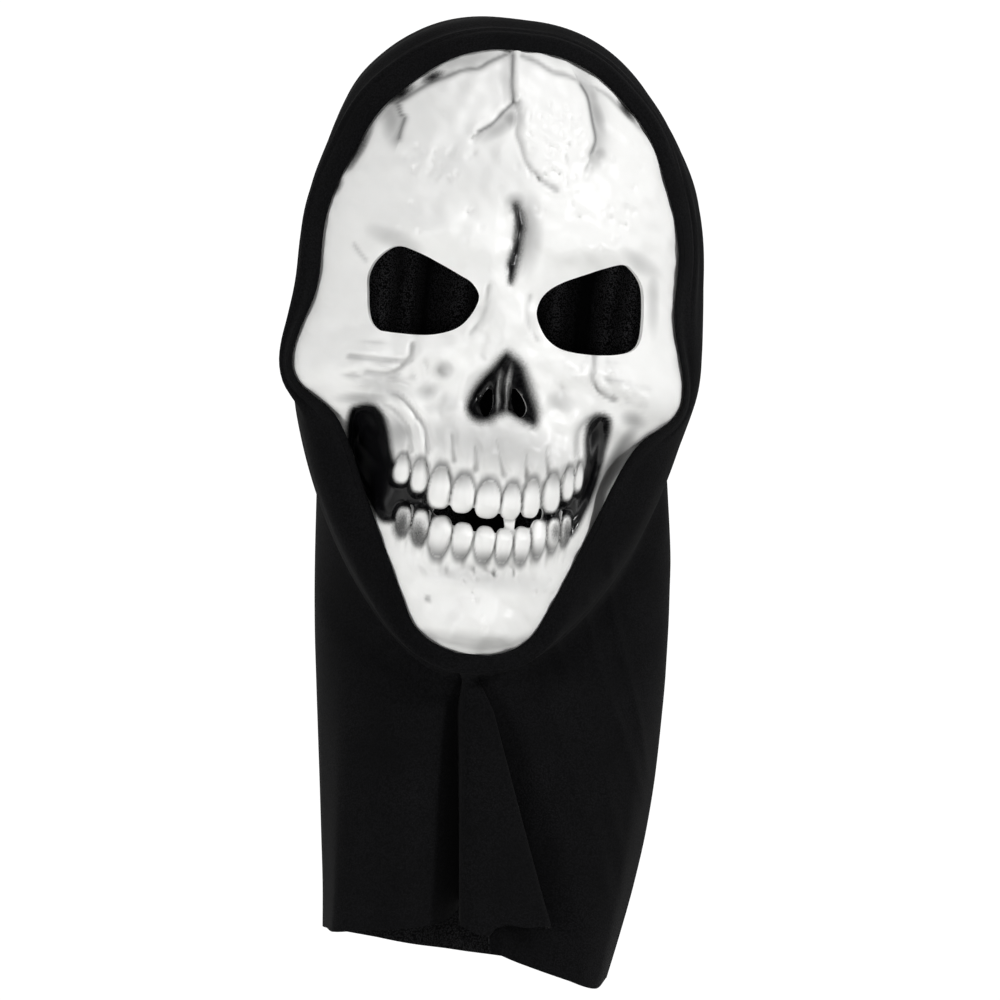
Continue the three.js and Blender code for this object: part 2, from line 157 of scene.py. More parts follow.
BEHIND_CAMERA = 0.13
BEHIND_MASK = 1.06
world = bpy.data.worlds.new("white_sweep")
bpy.context.scene.world = world
world.use_nodes = True
sweep = world.node_tree
sweep.nodes.clear()
way = add_node(sweep, "ShaderNodeTexCoord", {}, {})
axes = add_node(sweep, "ShaderNodeSeparateXYZ", {}, {"Vector": way.outputs["Generated"]})
glow = add_node(sweep, "ShaderNodeMapRange", {}, {
    "Value": axes.outputs["Y"], "From Min": 0.2, "From Max": 0.85,
    "To Min": BEHIND_CAMERA, "To Max": BEHIND_MASK})
sky = add_node(sweep, "ShaderNodeBackground", {}, {"Strength": glow.outputs["Result"]})
sky.inputs["Color"].default_value = (1, 1, 1, 1)
add_node(sweep, "ShaderNodeOutputWorld", {}, {"Surface": sky.outputs["Background"]})
bpy.context.scene.view_settings.view_transform = "Standard"
print("world nodes:", len(sweep.nodes))

# %% Soft boxes
SOFT_BOXES = table(
    "name place size power",
    ("key", (1.25, -0.8, 0.55), 0.25, 14),
    ("front", (-0.2, -2.05, -0.18), 0.16, 5.5),
    ("left", (-1.25, -0.9, -0.3), 0.4, 8.5),
    ("top", (0.1, -0.5, 1.3), 0.4, 7),
)
for box in SOFT_BOXES:
    lamp = bpy.data.lights.new(box.name, "AREA")
    lamp.size = box.size
    lamp.energy = box.power
    stand = bpy.data.objects.new(box.name, lamp)
    stand.location = box.place
    stand.rotation_euler = (Vector(aim) - Vector(box.place)).to_track_quat("-Z", "Y").to_euler()
    bpy.context.collection.objects.link(stand)
print("soft boxes:", ", ".join(box.name for box in SOFT_BOXES))

# %% The floor
FLOOR_BELOW_HEM = 0.3
FLOOR_RADIUS = 3.0
FLOOR_SIDES = 96


def linear(hex_colour):
    """An sRGB hex colour as the linear colour that a shader takes."""
    parts = [int(hex_colour[i:i + 2], 16) / 255 for i in (1, 3, 5)]
    return (*[p / 12.92 if p <= 0.04045 else ((p + 0.055) / 1.055) ** 2.4 for p in parts], 1.0)


turns = np.linspace(0, 2 * math.pi, FLOOR_SIDES, endpoint=False)
disc = [(FLOOR_RADIUS * math.cos(turn), FLOOR_RADIUS * math.sin(turn), 0) for turn in turns]
floor_mesh = bpy.data.meshes.new("floor")
floor_mesh.from_pydata(disc, [], [range(FLOOR_SIDES)])
floor = bpy.data.objects.new("floor", floor_mesh)
floor.location.z = cad_box[0][2] - FLOOR_BELOW_HEM
bpy.context.collection.objects.link(floor)

floor_paint = bpy.data.materials.new("matt_white_floor_paint")
floor_paint.use_nodes = True
floor_shader = floor_paint.node_tree.nodes["Principled BSDF"]
floor_shader.inputs["Base Color"].default_value = linear("#F2F2F0")
floor_shader.inputs["Roughness"].default_value = 0.9
floor_mesh.materials.append(floor_paint)
print(f"floor at {floor.location.z:.3f} m")

# %% [markdown]
# ## The blank of the face
#
# Before any features, the face is a smooth bowl: level sections from the crown down to the chin, each
# an arc from rim to rim. A table gives each section half its width, and where its rim and its middle
# lie. A curve that never overshoots runs through each column, so the bowl has no waves between the
# rows.

# %% Sections of the face
FACE_SWEEP = math.radians(72)
FACE_SECTIONS = table(
    "up half_width rim_y front_y",
    (167, 12, -12, -15),
    (165.3, 20.5, -11.2, -19.5),
    (162.5, 29.5, -9.8, -26),
    (158, 38.5, -8, -33),
    (153, 45.8, -6.3, -39),
    (147, 52.5, -5, -44),
    (137, 63, -3.3, -52),
    (126, 71, -2, -59),
    (107, 79, 0, -68),
    (87, 85.5, 0, -73),
    (68, 88.6, 0, -76),
    (50, 88.6, 0, -75),
    (37, 89.8, 0, -74),
    (24, 93.2, 0, -74.5),
    (10, 96, 0, -75.5),
    (2, 96.2, 0, -76),
    (-4, 94.4, -1, -76.5),
    (-9, 91, -2, -77),
    (-20, 80, -6, -78),
    (-33, 72, -11, -80),
    (-58, 60, -20, -80),
    (-87, 47, -31, -75),
    (-104, 39, -37, -72),
    (-116, 32.5, -41, -71),
    (-123, 25, -42.8, -67),
    (-127, 17, -43.6, -60),
    (-129.5, 8, -44, -50),
)
CROWN_UP = FACE_SECTIONS[0].up
CHIN_UP = FACE_SECTIONS[-1].up


def smooth_curve(at, value):
    """A smooth curve through rising places and their values, which never overshoots them."""
    at, value = np.asarray(at, float), np.asarray(value, float)
    spans = np.diff(at).reshape(-1, *[1] * (value.ndim - 1))
    step = np.diff(value, axis=0) / spans
    product = step[:-1] * step[1:]
    bends = np.where(product > 0, 2 * product / np.where(product > 0, step[:-1] + step[1:], 1), 0)
    slope = np.concatenate([step[:1], bends, step[-1:]])

    def curve(x):
        x = np.clip(x, at[0], at[-1])
        i = np.clip(np.searchsorted(at, x, side="right") - 1, 0, len(at) - 2)
        shape = np.shape(x) + (1,) * (value.ndim - 1)
        span = (at[i + 1] - at[i]).reshape(shape)
        t = (x - at[i]).reshape(shape) / span
        ends = value[i] * (1 + 2 * t) * (1 - t) ** 2 + value[i + 1] * t * t * (3 - 2 * t)
        return ends + span * (slope[i] * t * (1 - t) ** 2 - slope[i + 1] * t * t * (1 - t))

    return curve


def column(rows, name):
    """One column of a table, as an array."""
    return np.array([getattr(row, name) for row in rows], float)


upwards = FACE_SECTIONS[::-1]
rim_half_width = smooth_curve(column(upwards, "up"), column(upwards, "half_width"))
rim_y = smooth_curve(column(upwards, "up"), column(upwards, "rim_y"))
front_y = smooth_curve(column(upwards, "up"), column(upwards, "front_y"))


def turn_at(across, up):
    """The angle from the middle of the face at which a section reaches that far across."""
    return np.arcsin(np.clip(across * math.sin(FACE_SWEEP) / rim_half_width(up), -1, 1))


def blank_point(turn, up):
    """A point of the smooth bowl."""
    across = rim_half_width(up) * np.sin(turn) / math.sin(FACE_SWEEP)
    bulge = (np.cos(turn) - math.cos(FACE_SWEEP)) / (1 - math.cos(FACE_SWEEP))
    return np.stack([across, rim_y(up) - (rim_y(up) - front_y(up)) * bulge, up], -1)


print("bowl at the nose:", blank_point(np.array(0.0), np.array(0.0)).round(1))

# %% [markdown]
# ## The skull's large forms
#
# Brows, sockets, cheekbones and hollows are pressed out of the bowl. Each is a rounded swelling with a
# middle, half a width, half a height, a rise and a tilt. Sculpting by hand could do this, but a table
# can be read, mirrored and changed. The rise fades near the rim, where the sheet stays a plain flange
# for the hem to lie on.

# %% Large relief
RELIEF_FADE = math.radians(7)
MIRRORED_FROM = 4
RELIEF = table(
    "across up half_width half_height rise tilt",
    (38, 72, 34, 13, 5, -4),  # brow ridge
    (41, 43, 37, 31, -9, -8),  # eye socket
    (-2, 72, 10, 26, -4, 0),  # crease between the brows
    (0, 30, 15, 24, 5, 0),  # bridge of the nose
    (8, -4, 12, 17, -12, 0),  # nose cavity, one lobe
    (0, 6, 9, 13, -6, 0),  # nose cavity, top
    (40, 12, 34, 11, 4, -12),  # lower edge of the socket
    (74, 6, 32, 17, 8, -20),  # cheekbone
    (76, 64, 17, 34, -4, 0),  # temple
    (60, -38, 16, 31, -16, -14),  # hollow of the cheek
    (20, -30, 34, 15, 4, 0),  # roots of the upper teeth
    (0, -63, 47, 8, -5, 0),  # line of the mouth
    (0, -85, 40, 9, -3, 0),  # below the lower teeth
    (0, -111, 25, 15, 5, 0),  # chin
    (38, -92, 13, 30, 3, -24),  # edge of the jaw
)


def swelling(distance_squared):
    """One at the middle of a rounded swelling, and nothing beyond its edge."""
    return np.clip(1 - distance_squared, 0, None) ** 2


def smooth_step(value, low, high):
    """Nothing up to low and one from high on, with a smooth climb between."""
    share = np.clip((value - low) / (high - low), 0, 1)
    return share * share * (3 - 2 * share)


def large_relief(across, up):
    """How far the large forms stand out of the bowl. A row off the middle is pressed on both sides."""
    rise = np.zeros(np.broadcast(across, up).shape)
    for row in RELIEF:
        lift = math.radians(row.tilt)
        for side in (1, -1) if row.across > MIRRORED_FROM else (1,):
            dx = side * across - row.across
            dz = up - row.up
            along = dx * math.cos(lift) + dz * math.sin(lift)
            over = dz * math.cos(lift) - dx * math.sin(lift)
            rise += row.rise * swelling((along / row.half_width) ** 2 + (over / row.half_height) ** 2)
    return rise


def rim_fade(across, up):
    """Nothing at the rim of the face, and one away from it."""
    return smooth_step(FACE_SWEEP - np.abs(turn_at(across, up)), 0, RELIEF_FADE)


def large_y(across, up):
    """Where the bowl with its large forms lies, front to back."""
    turn = turn_at(across, up)
    return blank_point(turn, up)[..., 1] - large_relief(across, up) * rim_fade(across, up)


print(f"large forms: {len(RELIEF)} rows")

# %% [markdown]
# ## Reading places off the photograph
#
# Cracks, teeth and sprayed edges are irregular, so they are placed where the photograph shows them, by a few
# listed pixels each. A pixel's ray is followed to the face by stepping back and forth until it settles. The
# result is a place on the face, so every mark sits on the plastic from any side and not just in this view.

# %% Pixels to places on the face
RAY_STEPS = 40


def from_photo(pixels, depth=large_y):
    """Pixels of the photograph, as (across, up) places on the face or on another surface."""
    offset = pixel_m * (np.asarray(pixels, float) - middle)
    rays = offset[:, :1] * right - offset[:, 1:] * upward - back * distance
    y = np.full(len(rays), float(NOSE[1]))
    for _ in range(RAY_STEPS):
        reach = ((y - SEAT_BEHIND_RIM) * MM - eye[1]) / rays[:, 1]
        hit = (eye + rays * reach[:, None]) / MM
        across = hit[:, 0]
        up = hit[:, 2] + SEAT_ABOVE_NOSE
        y = (y + depth(across, up)) / 2
    return np.stack([across, up], 1)


def rounded(corners, steps=6):
    """A closed smooth curve through a few corners."""
    before, after, beyond = (np.roll(corners, shift, 0)[:, None] for shift in (1, -1, -2))
    here = np.asarray(corners)[:, None]
    t = np.linspace(0, 1, steps, endpoint=False)[None, :, None]
    bend = (2 * before - 5 * here + 4 * after - beyond) * t ** 2
    twist = (3 * here - before - 3 * after + beyond) * t ** 3
    return ((2 * here + (after - before) * t + bend + twist) / 2).reshape(-1, 2)


def distance_to(points, line):
    """How far each point is from a line of straight stretches, negative on the left of one that runs down."""
    nearest = np.full(len(points), np.inf)
    for start, end in zip(line[:-1], line[1:]):
        stretch = end - start
        share = np.clip((points - start) @ stretch / (stretch @ stretch), 0, 1)
        gap = np.linalg.norm(points - start - share[:, None] * stretch, axis=1)
        side = stretch[0] * (points[:, 1] - start[1]) - stretch[1] * (points[:, 0] - start[0])
        nearest = np.where(gap < np.abs(nearest), np.where(side < 0, -gap, gap), nearest)
    return nearest


def outside_by(points, outline):
    """How far each point is outside a closed outline, negative inside it."""
    closed = np.vstack([outline, outline[:1]])
    inside = np.zeros(len(points), bool)
    for (x0, z0), (x1, z1) in zip(closed[:-1], closed[1:]):
        crosses = (z0 > points[:, 1]) != (z1 > points[:, 1])
        inside ^= crosses & (points[:, 0] < x0 + (points[:, 1] - z0) * (x1 - x0) / (z1 - z0 or 1))
    gap = np.abs(distance_to(points, closed))
    return np.where(inside, -gap, gap)


print("nose read off the photograph:", from_photo([NOSE_PIXEL]).round(2))

# %% [markdown]
# ## Teeth
#
# The teeth are part of the same sheet. On the real mould each is a rounded peg, narrow at the gum and
# broad at the biting edge, and the sheet draws over it as a small steep dome. A superellipse gives a
# dome with a flatter front than an ellipse has, and pinching it towards the gum makes it a tooth. Each
# tooth carries on as a soft ridge, the root under the gum.

# %% Tooth places and domes
UPPER_TEETH = table(
    "x y half_width half_height",
    (402, 469, 8, 15),
    (419.5, 476, 8.5, 17),
    (439.5, 487.5, 11.5, 22),
    (463, 494, 12.2, 19.5),
    (488.5, 499.5, 13.4, 19.5),
    (511.5, 501.6, 10.8, 18.5),
    (531.5, 498.4, 9.7, 20),
    (551.5, 493.5, 10.2, 20),
    (568, 484, 7.4, 17.5),
    (578.5, 477.5, 5.8, 15),
)
LOWER_TEETH = table(
    "x y half_width half_height",
    (403.7, 520.5, 7.5, 14),
    (420.5, 526.5, 8.5, 17),
    (439.5, 536.5, 11.5, 21),
    (462, 540.5, 10.5, 18),
    (484.5, 544.5, 10.8, 18),
    (503.5, 546.5, 9.3, 17.5),
    (522, 545.5, 9.2, 18.5),
    (538.5, 539, 8.2, 19),
    (553, 535, 7.6, 17),
    (565, 530.5, 6.3, 15.5),
)
TOOTH_RISE = 3.8
TOOTH_SQUARENESS = 2.7
TOOTH_PINCH = 0.34
PINCH_OVER = (-0.3, 1.1)
TOOTH_ROUNDING = 0.7
ROOT_FROM = 0.6
ROOT_BLEND = 2
ROOT_LENGTH = 15
ROOT_RISE = 2.8


def place_teeth(rows, root_way):
    """Teeth in the mask's millimetres. The roots of a row point up or down."""
    places = from_photo([(row.x, row.y) for row in rows])
    sizes = MM_PER_PIXEL * np.array([(row.half_width, row.half_height) for row in rows])
    return [SimpleNamespace(place=p, half=s, root_way=root_way) for p, s in zip(places, sizes)]


teeth = place_teeth(UPPER_TEETH, 1) + place_teeth(LOWER_TEETH, -1)


def tooth_reach(points, tooth):
    """How far each point is across a tooth and towards its gum, 1 at its edges."""
    reach = (points - tooth.place) / tooth.half
    to_gum = reach[:, 1] * tooth.root_way
    return reach[:, 0] / (1 - TOOTH_PINCH * smooth_step(to_gum, *PINCH_OVER)), to_gum


def tooth_share(points, tooth):
    """0 at a tooth's middle and 1 at its edge."""
    across, to_gum = np.abs(tooth_reach(points, tooth))
    return (across ** TOOTH_SQUARENESS + to_gum ** TOOTH_SQUARENESS) ** (1 / TOOTH_SQUARENESS)


def gaps_to_teeth(points):
    """About how far each point is outside each tooth, negative inside it, the nearest tooth first."""
    return np.sort([(tooth_share(points, tooth) - 1) * tooth.half.min() for tooth in teeth], axis=0)


def tooth_relief(points):
    """How far the teeth and their roots stand out."""
    rise = np.zeros(len(points))
    for tooth in teeth:
        dome = np.clip(1 - tooth_share(points, tooth) ** TOOTH_SQUARENESS, 0, None) ** TOOTH_ROUNDING
        rise = np.maximum(rise, TOOTH_RISE * dome)
        across, to_gum = tooth_reach(points, tooth)
        beyond = (to_gum - ROOT_FROM) * tooth.half[1]
        begun = smooth_step(beyond, -ROOT_BLEND, ROOT_BLEND)
        root = swelling(across ** 2) * begun * (1 - smooth_step(beyond, 0, ROOT_LENGTH))
        rise = np.maximum(rise, ROOT_RISE * root)
    return rise


print(f"{len(teeth)} teeth, the widest {2 * max(tooth.half[0] for tooth in teeth):.1f} mm")

# %% [markdown]
# ## Cut openings
#
# After forming, the eye holes, the nostrils and the mouth are punched out. The mouth follows the edges
# of the teeth, so its hole is a slot with the teeth taken away from it, and a narrow peg of plastic is
# left standing in it. One field says how far a place is from the nearest cut, and is negative where the
# plastic is gone.

# %% Outlines of the openings
LEFT_EYE = [
    (397, 246), (420, 253), (441, 264), (460, 275), (472, 283), (479, 296), (475, 309), (464, 323),
    (450, 331), (426, 335), (389, 332), (376, 328), (369, 316), (367, 294), (368, 274), (378, 257)]
RIGHT_EYE = [
    (620, 265), (633, 271), (642, 286), (644, 305), (642, 336), (634, 350), (617, 355), (590, 355),
    (563, 350), (547, 339), (538, 322), (537, 309), (545, 294), (560, 284), (582, 276)]
LEFT_NOSTRIL = [
    (492, 387), (494, 396), (493, 407), (489, 415), (484, 416), (481, 410), (481, 401), (486, 392)]
RIGHT_NOSTRIL = [
    (514, 387), (520, 392), (525, 400), (528, 409), (525, 416), (519, 417), (514, 409), (512, 397)]
MOUTH_SLOT = [
    (432, 511), (445, 505), (490, 508), (530, 508), (542, 508), (543, 519), (530, 529), (515, 535),
    (495, 536), (465, 530), (445, 524)]
MOUTH_PEG = [(504, 512), (517, 512), (513.5, 538), (507.5, 538)]

punched = [rounded(from_photo(outline)) for outline in (LEFT_EYE, RIGHT_EYE, LEFT_NOSTRIL, RIGHT_NOSTRIL)]
mouth_slot = rounded(from_photo(MOUTH_SLOT))
mouth_peg = from_photo(MOUTH_PEG)


def hole_field(points):
    """How far each point is from the nearest cut, negative where the plastic is cut away."""
    slot = np.maximum(outside_by(points, mouth_slot), -gaps_to_teeth(points)[0])
    slot = np.maximum(slot, -outside_by(points, mouth_peg))
    return np.min([slot, *[outside_by(points, outline) for outline in punched]], axis=0)


widths = [np.ptp(outline[:, 0]) for outline in punched]
print("openings, mm wide:", [round(float(w), 1) for w in (*widths, np.ptp(mouth_slot[:, 0]))])

# %% [markdown]
# ## Cracks, hollows and pits
#
# The mould is carved with cracks between the plates of the skull, pits like old bone, and sharp-edged
# hollows under the cheekbones and in the nose. A crack is a narrow groove in a wide shallow valley,
# with a faint lip on both sides. A hollow is a step down inside an outline. They are real depth in the
# mesh, because side light shows every one.

# %% Lines of the cracks and creases
CRACKS = table(
    "name depth half_width soft pixels",
    ("middle", 1.3, 1.6, -2, [(513, 54), (512, 81), (514, 102)]),
    ("left branch", 1.3, 1.6, 3, [(514, 103), (504, 112), (494, 123), (479, 132)]),
    ("right branch", 0.9, 1.2, 2, [
        (516, 104), (519, 117), (517, 132), (521, 145), (527, 163), (539, 178), (555, 190)]),
    ("upper left", 1.1, 1.3, -2.5, [
        (507, 54), (489, 62), (479, 68), (463, 70), (448, 76), (428, 84), (401, 101)]),
    ("left fork", 1.3, 2.1, -2.5, [(398, 103), (401, 114), (405, 118), (402, 127), (399, 139)]),
    ("left edge", 0.8, 1.4, -1.5, [(396, 103), (384, 112), (374, 122), (364, 146), (350, 168)]),
    ("upper right", 0.9, 1.2, 1.5, [(522, 56), (537, 62), (553, 72), (568, 76), (581, 82)]),
    ("right fork", 1.5, 2, 4, [(581, 84), (588, 97), (593, 122), (596, 140), (591, 155)]),
    ("right edge", 0.8, 1.2, 1.5, [(586, 84), (606, 94), (621, 109), (639, 127), (652, 137)]),
    ("left cheek", 0.9, 1.2, 1.5, [(412, 345), (411, 357), (407, 362), (397, 370), (381, 374), (368, 371)]),
    ("left cheek, upper", 0.6, 1.2, 1.5, [(408, 359), (396, 361), (381, 361), (366, 358), (351, 355)]),
    ("right cheek", 0.8, 1.2, 1.5, [(594, 356), (593, 371), (591, 377), (601, 392), (614, 400)]),
    ("left jaw ridge", 0.8, 1.2, -2, [(378, 400), (399, 414), (408, 431), (410, 450)]),
    ("left jaw ridge, inner", 0.7, 1.2, -2, [(393, 391), (414, 410), (425, 427), (429, 448)]),
    ("right jaw ridge", 0.9, 1.2, 2, [(576, 454), (577, 435), (585, 421), (595, 415)]),
    ("left tear line", 0.5, 1.2, 1.5, [(489, 286), (487, 303), (481, 320), (470, 333)]),
    ("right tear line", 0.4, 1.2, 1.5, [(530, 296), (527, 310), (529, 326), (537, 341)]),
    ("left brow", 0.5, 1.2, 1, [(354, 244), (360, 253), (366, 260)]),
    ("root 1", 0.8, 1.7, 1, [(452, 435), (453, 448), (455, 460)]),
    ("root 2", 0.8, 1.7, 1, [(475, 446), (477, 457), (477, 469)]),
    ("root 3", 0.8, 1.7, 1, [(497, 440), (500, 458), (504, 474)]),
    ("root 4", 0.8, 1.7, 1, [(527, 454), (526, 464), (528, 475)]),
    ("root 5", 0.8, 1.7, 1, [(547, 450), (547, 462), (549, 473)]),
    ("chin", 0.7, 1.6, 2, [(425, 634), (450, 643), (480, 649), (508, 646), (530, 637)]),
)
CURVE_STEPS = 4


def flowing(points):
    """A smooth open curve through a few points."""
    steps = CURVE_STEPS * (len(points) - 1) + 1
    return smooth_curve(np.arange(len(points)), points)(np.linspace(0, len(points) - 1, steps))


cracks = [SimpleNamespace(line=flowing(from_photo(row.pixels)), **vars(row)) for row in CRACKS]


def crack_reach(points, crack):
    """How many half widths each point is from a crack. One side, left if soft is negative, slopes wider."""
    gap = distance_to(points, crack.line) / crack.half_width
    return np.where(gap * crack.soft > 0, np.abs(gap / crack.soft), np.abs(gap))


print(f"{len(cracks)} cracks, {sum(len(crack.line) for crack in cracks)} points")

# %% Outlines of the hollows
LEFT_HOLLOW = [
    (348, 412), (358, 404), (374, 403), (385, 414), (390, 431), (393, 450), (398, 464), (410, 474),
    (428, 488), (442, 504), (440, 518), (430, 527), (412, 527), (398, 524), (380, 522), (368, 505),
    (354, 478), (345, 450)]
RIGHT_HOLLOW = [
    (586, 424), (594, 415), (603, 413), (611, 419), (611, 433), (607, 450), (600, 477), (593, 498),
    (581, 524), (571, 538), (564, 533), (556, 526), (541, 522), (541, 508), (556, 496), (570, 484),
    (581, 474), (584, 458), (584, 440)]
NOSE_CAVITY = [
    (505, 351), (490, 368), (475, 385), (466, 404), (467, 414), (475, 422), (488, 423), (498, 418),
    (507, 415), (515, 418), (526, 425), (534, 428), (539, 423), (540, 414), (537, 402), (530, 380),
    (524, 364), (515, 355)]
BROW_CREASE = [
    (513, 205), (518, 203), (524, 212), (526, 226), (524, 240), (521, 256), (517, 272), (512, 284),
    (508, 280), (507, 267), (510, 253), (514, 240), (515, 222)]
left_hollow, right_hollow, nose_cavity, brow_crease = (
    rounded(from_photo(outline)) for outline in (LEFT_HOLLOW, RIGHT_HOLLOW, NOSE_CAVITY, BROW_CREASE))
print("nose cavity, mm:", np.ptp(nose_cavity, axis=0).round(1))

# %% Small bumps and dimples
BUMPS = table(
    "x y half_width half_height tilt rise",
    (389, 367, 18, 6, 8, 2.6),
    (587, 364, 5, 6, 0, 1.5),
    (604, 388, 15, 6, -42, 2.8),
    (626, 392, 11, 6, -40, 2.6),
    (566, 362, 8, 8, 0, 0.8),
    (374, 351, 20, 5, 4, 2.1),
    (421, 371, 7, 12, 18, 2.2),
    (351, 367, 14, 6, 8, 2.1),
    (397, 384, 16, 5, -12, 2.4),
    (360, 385, 14, 5, 0, 2.1),
    (645, 397, 10, 6, -30, 2.2),
    (613, 371, 9, 5, -22, 2.2),
    (578, 377, 8, 6, 0, 1.8),
    (443, 370, 9, 8, 0, -2.0),
    (428, 391, 11, 8, 20, -1.4),
    (442, 404, 30, 26, 0, -3.0),
    (560, 402, 26, 24, 0, -2.7),
    (404, 409, 26, 8, -48, 3.0),
    (419, 438, 22, 7, -80, 2.7),
    (590, 428, 24, 7, 58, 2.1),
    (341, 424, 7, 14, 0, 2.1),
    (498, 396, 3.4, 22, 0, 3.3),
    (507.5, 396, 3.4, 22, 0, 3.3),
    (361, 433, 4, 14, 0, 2.7),
    (388, 447, 3.5, 11, 0, 1.8),
    (428, 598, 6, 4, 0, -1.4),
    (448, 569, 4, 9, 0, -0.9),
    (474, 571, 4, 9, 0, -0.9),
    (495, 573, 4, 9, 0, -0.9),
    (514, 574, 4, 9, 0, -0.9),
    (430, 80, 4, 3, 0, 1.5),
    (437, 75, 4, 3, 0, 1.5),
    (504, 199, 5, 4, 30, 1.4),
    (509, 209, 4, 4, 0, 1.2),
    (592, 151, 4, 4, 0, 1.2),
    (600, 157, 4, 3, 0, 1.2),
)


def spot_reach(points, spot):
    """The square of how far each point is from the middle of a tilted oval spot, 1 at its edge."""
    lean = math.radians(spot.tilt)
    dx, dz = (points - from_photo([(spot.x, spot.y)])).T / MM_PER_PIXEL
    along = dx * math.cos(lean) + dz * math.sin(lean)
    over = dz * math.cos(lean) - dx * math.sin(lean)
    return (along / spot.half_width) ** 2 + (over / spot.half_height) ** 2


print(f"{len(BUMPS)} bumps and dimples")

# %% Pits in the bone, and its unevenness
PIT_FIELDS = table(
    "left top right bottom count",
    (528, 105, 590, 185, 60),
    (408, 143, 480, 178, 18),
    (598, 206, 636, 248, 16),
    (395, 120, 655, 235, 26),
    (420, 560, 570, 630, 14),
)
PIT_RADIUS = (1.6, 2.6)
PIT_DEPTH = (0.7, 1.5)
WAVE_COUNT = 48
WAVE_MM = (7, 22)
WAVE_RISE = 0.09
chance = np.random.default_rng(7)
pits = []
for field in PIT_FIELDS:
    spots = chance.uniform((field.left, field.top), (field.right, field.bottom), (field.count, 2))
    for place in from_photo(spots):
        radius, depth = chance.uniform(*PIT_RADIUS), chance.uniform(*PIT_DEPTH)
        pits.append(SimpleNamespace(place=place, radius=radius, depth=depth))
wave_turns = chance.uniform(0, 2 * math.pi, (2, WAVE_COUNT))
wave_lengths = chance.uniform(*WAVE_MM, WAVE_COUNT)


def unevenness(points):
    """A soft random wave, as hand-modelled clay has."""
    ways = np.stack([np.cos(wave_turns[0]), np.sin(wave_turns[0])]) / wave_lengths
    return WAVE_RISE * np.sin(2 * math.pi * points @ ways + wave_turns[1]).sum(1)


print(f"{len(pits)} pits, waves of {unevenness(brow_crease).std():.2f} mm")

# %% The fine relief as two functions
TOOTH_CLEAR = 1.5
LIP_RISE = 0.45
LIP_AT = 2
VALLEY_DEPTH = 0.4
VALLEY_WIDTH = 3.2
BROW_STEP = 2.6
BROW_EDGE = 2.8
HOLLOW_STEP = 6
HOLLOW_EDGE = 5
NOSE_STEP = 3.5
NOSE_EDGE = 4


def carved_relief(points):
    """How far the teeth, cracks, bumps and hollows stand out of the large forms."""
    rise = tooth_relief(points)
    away_from_teeth = smooth_step(gaps_to_teeth(points)[0], 0, TOOTH_CLEAR)
    for crack in cracks:
        gap = crack_reach(points, crack)
        groove = np.exp(-gap ** 2) + VALLEY_DEPTH * np.exp(-(gap / VALLEY_WIDTH) ** 2)
        rise += LIP_RISE * np.exp(-(gap - LIP_AT) ** 2) - crack.depth * groove
    rise -= BROW_STEP * smooth_step(-outside_by(points, brow_crease), -BROW_EDGE, BROW_EDGE)
    for bump in BUMPS:
        rise += bump.rise * swelling(spot_reach(points, bump))
    for hollow in (left_hollow, right_hollow):
        rise -= HOLLOW_STEP * smooth_step(-outside_by(points, hollow), 0, HOLLOW_EDGE) * away_from_teeth
    return rise - NOSE_STEP * smooth_step(-outside_by(points, nose_cavity), 0, NOSE_EDGE)


def worn_relief(points):
    """How far pits and unevenness move the carved surface."""
    rise = unevenness(points) * smooth_step(gaps_to_teeth(points)[0], 0, TOOTH_CLEAR)
    for pit in pits:
        rise -= pit.depth * swelling(((points - pit.place) ** 2).sum(1) / pit.radius ** 2)
    return rise


sample = carved_relief(np.stack([tooth.place for tooth in teeth]))
print(f"the teeth stand {sample.min():.1f} to {sample.max():.1f} mm proud")

# %% [markdown]
# ## The face as one sheet
#
# The sheet is a grid of points, finer at the mouth. Points that fall into a cut but touch the plastic
# are moved onto the edge of the cut, so the edge is smooth and not stepped. The same grid, moved inward
# by the sheet's thickness, is the inside, and a narrow strip joins the two along every edge, as the cut
# edge of real sheet shows.

# %% Grid of the face, with smooth cut edges
FACE_COLUMNS = 196
TURN_SHARE = 0.3
ROW_STEP = 1.4
MOUTH_ROW_STEP = 0.85
MOUTH_FROM, MOUTH_TO = -95, -30
EDGE_STEPS = 5
EDGE_NUDGE = 0.05
LEAST_SLOPE = 0.1
HEIGHT_SAMPLES = 3000

heights = np.linspace(CHIN_UP, CROWN_UP, HEIGHT_SAMPLES)
in_mouth = (heights > MOUTH_FROM) & (heights < MOUTH_TO)
rows_so_far = np.cumsum((heights[1] - heights[0]) / np.where(in_mouth, MOUTH_ROW_STEP, ROW_STEP))
face_rows = int(rows_so_far[-1]) + 1
row_ups = np.interp(np.linspace(0, rows_so_far[-1], face_rows), rows_so_far, heights)
row_ups[0], row_ups[-1] = CHIN_UP, CROWN_UP
even = np.linspace(-1, 1, FACE_COLUMNS)
evenly_across = np.arcsin(even * math.sin(FACE_SWEEP))
turn_grid, up_grid = np.meshgrid(evenly_across + (FACE_SWEEP * even - evenly_across) * TURN_SHARE, row_ups)
places = blank_point(turn_grid, up_grid)[..., [0, 2]]

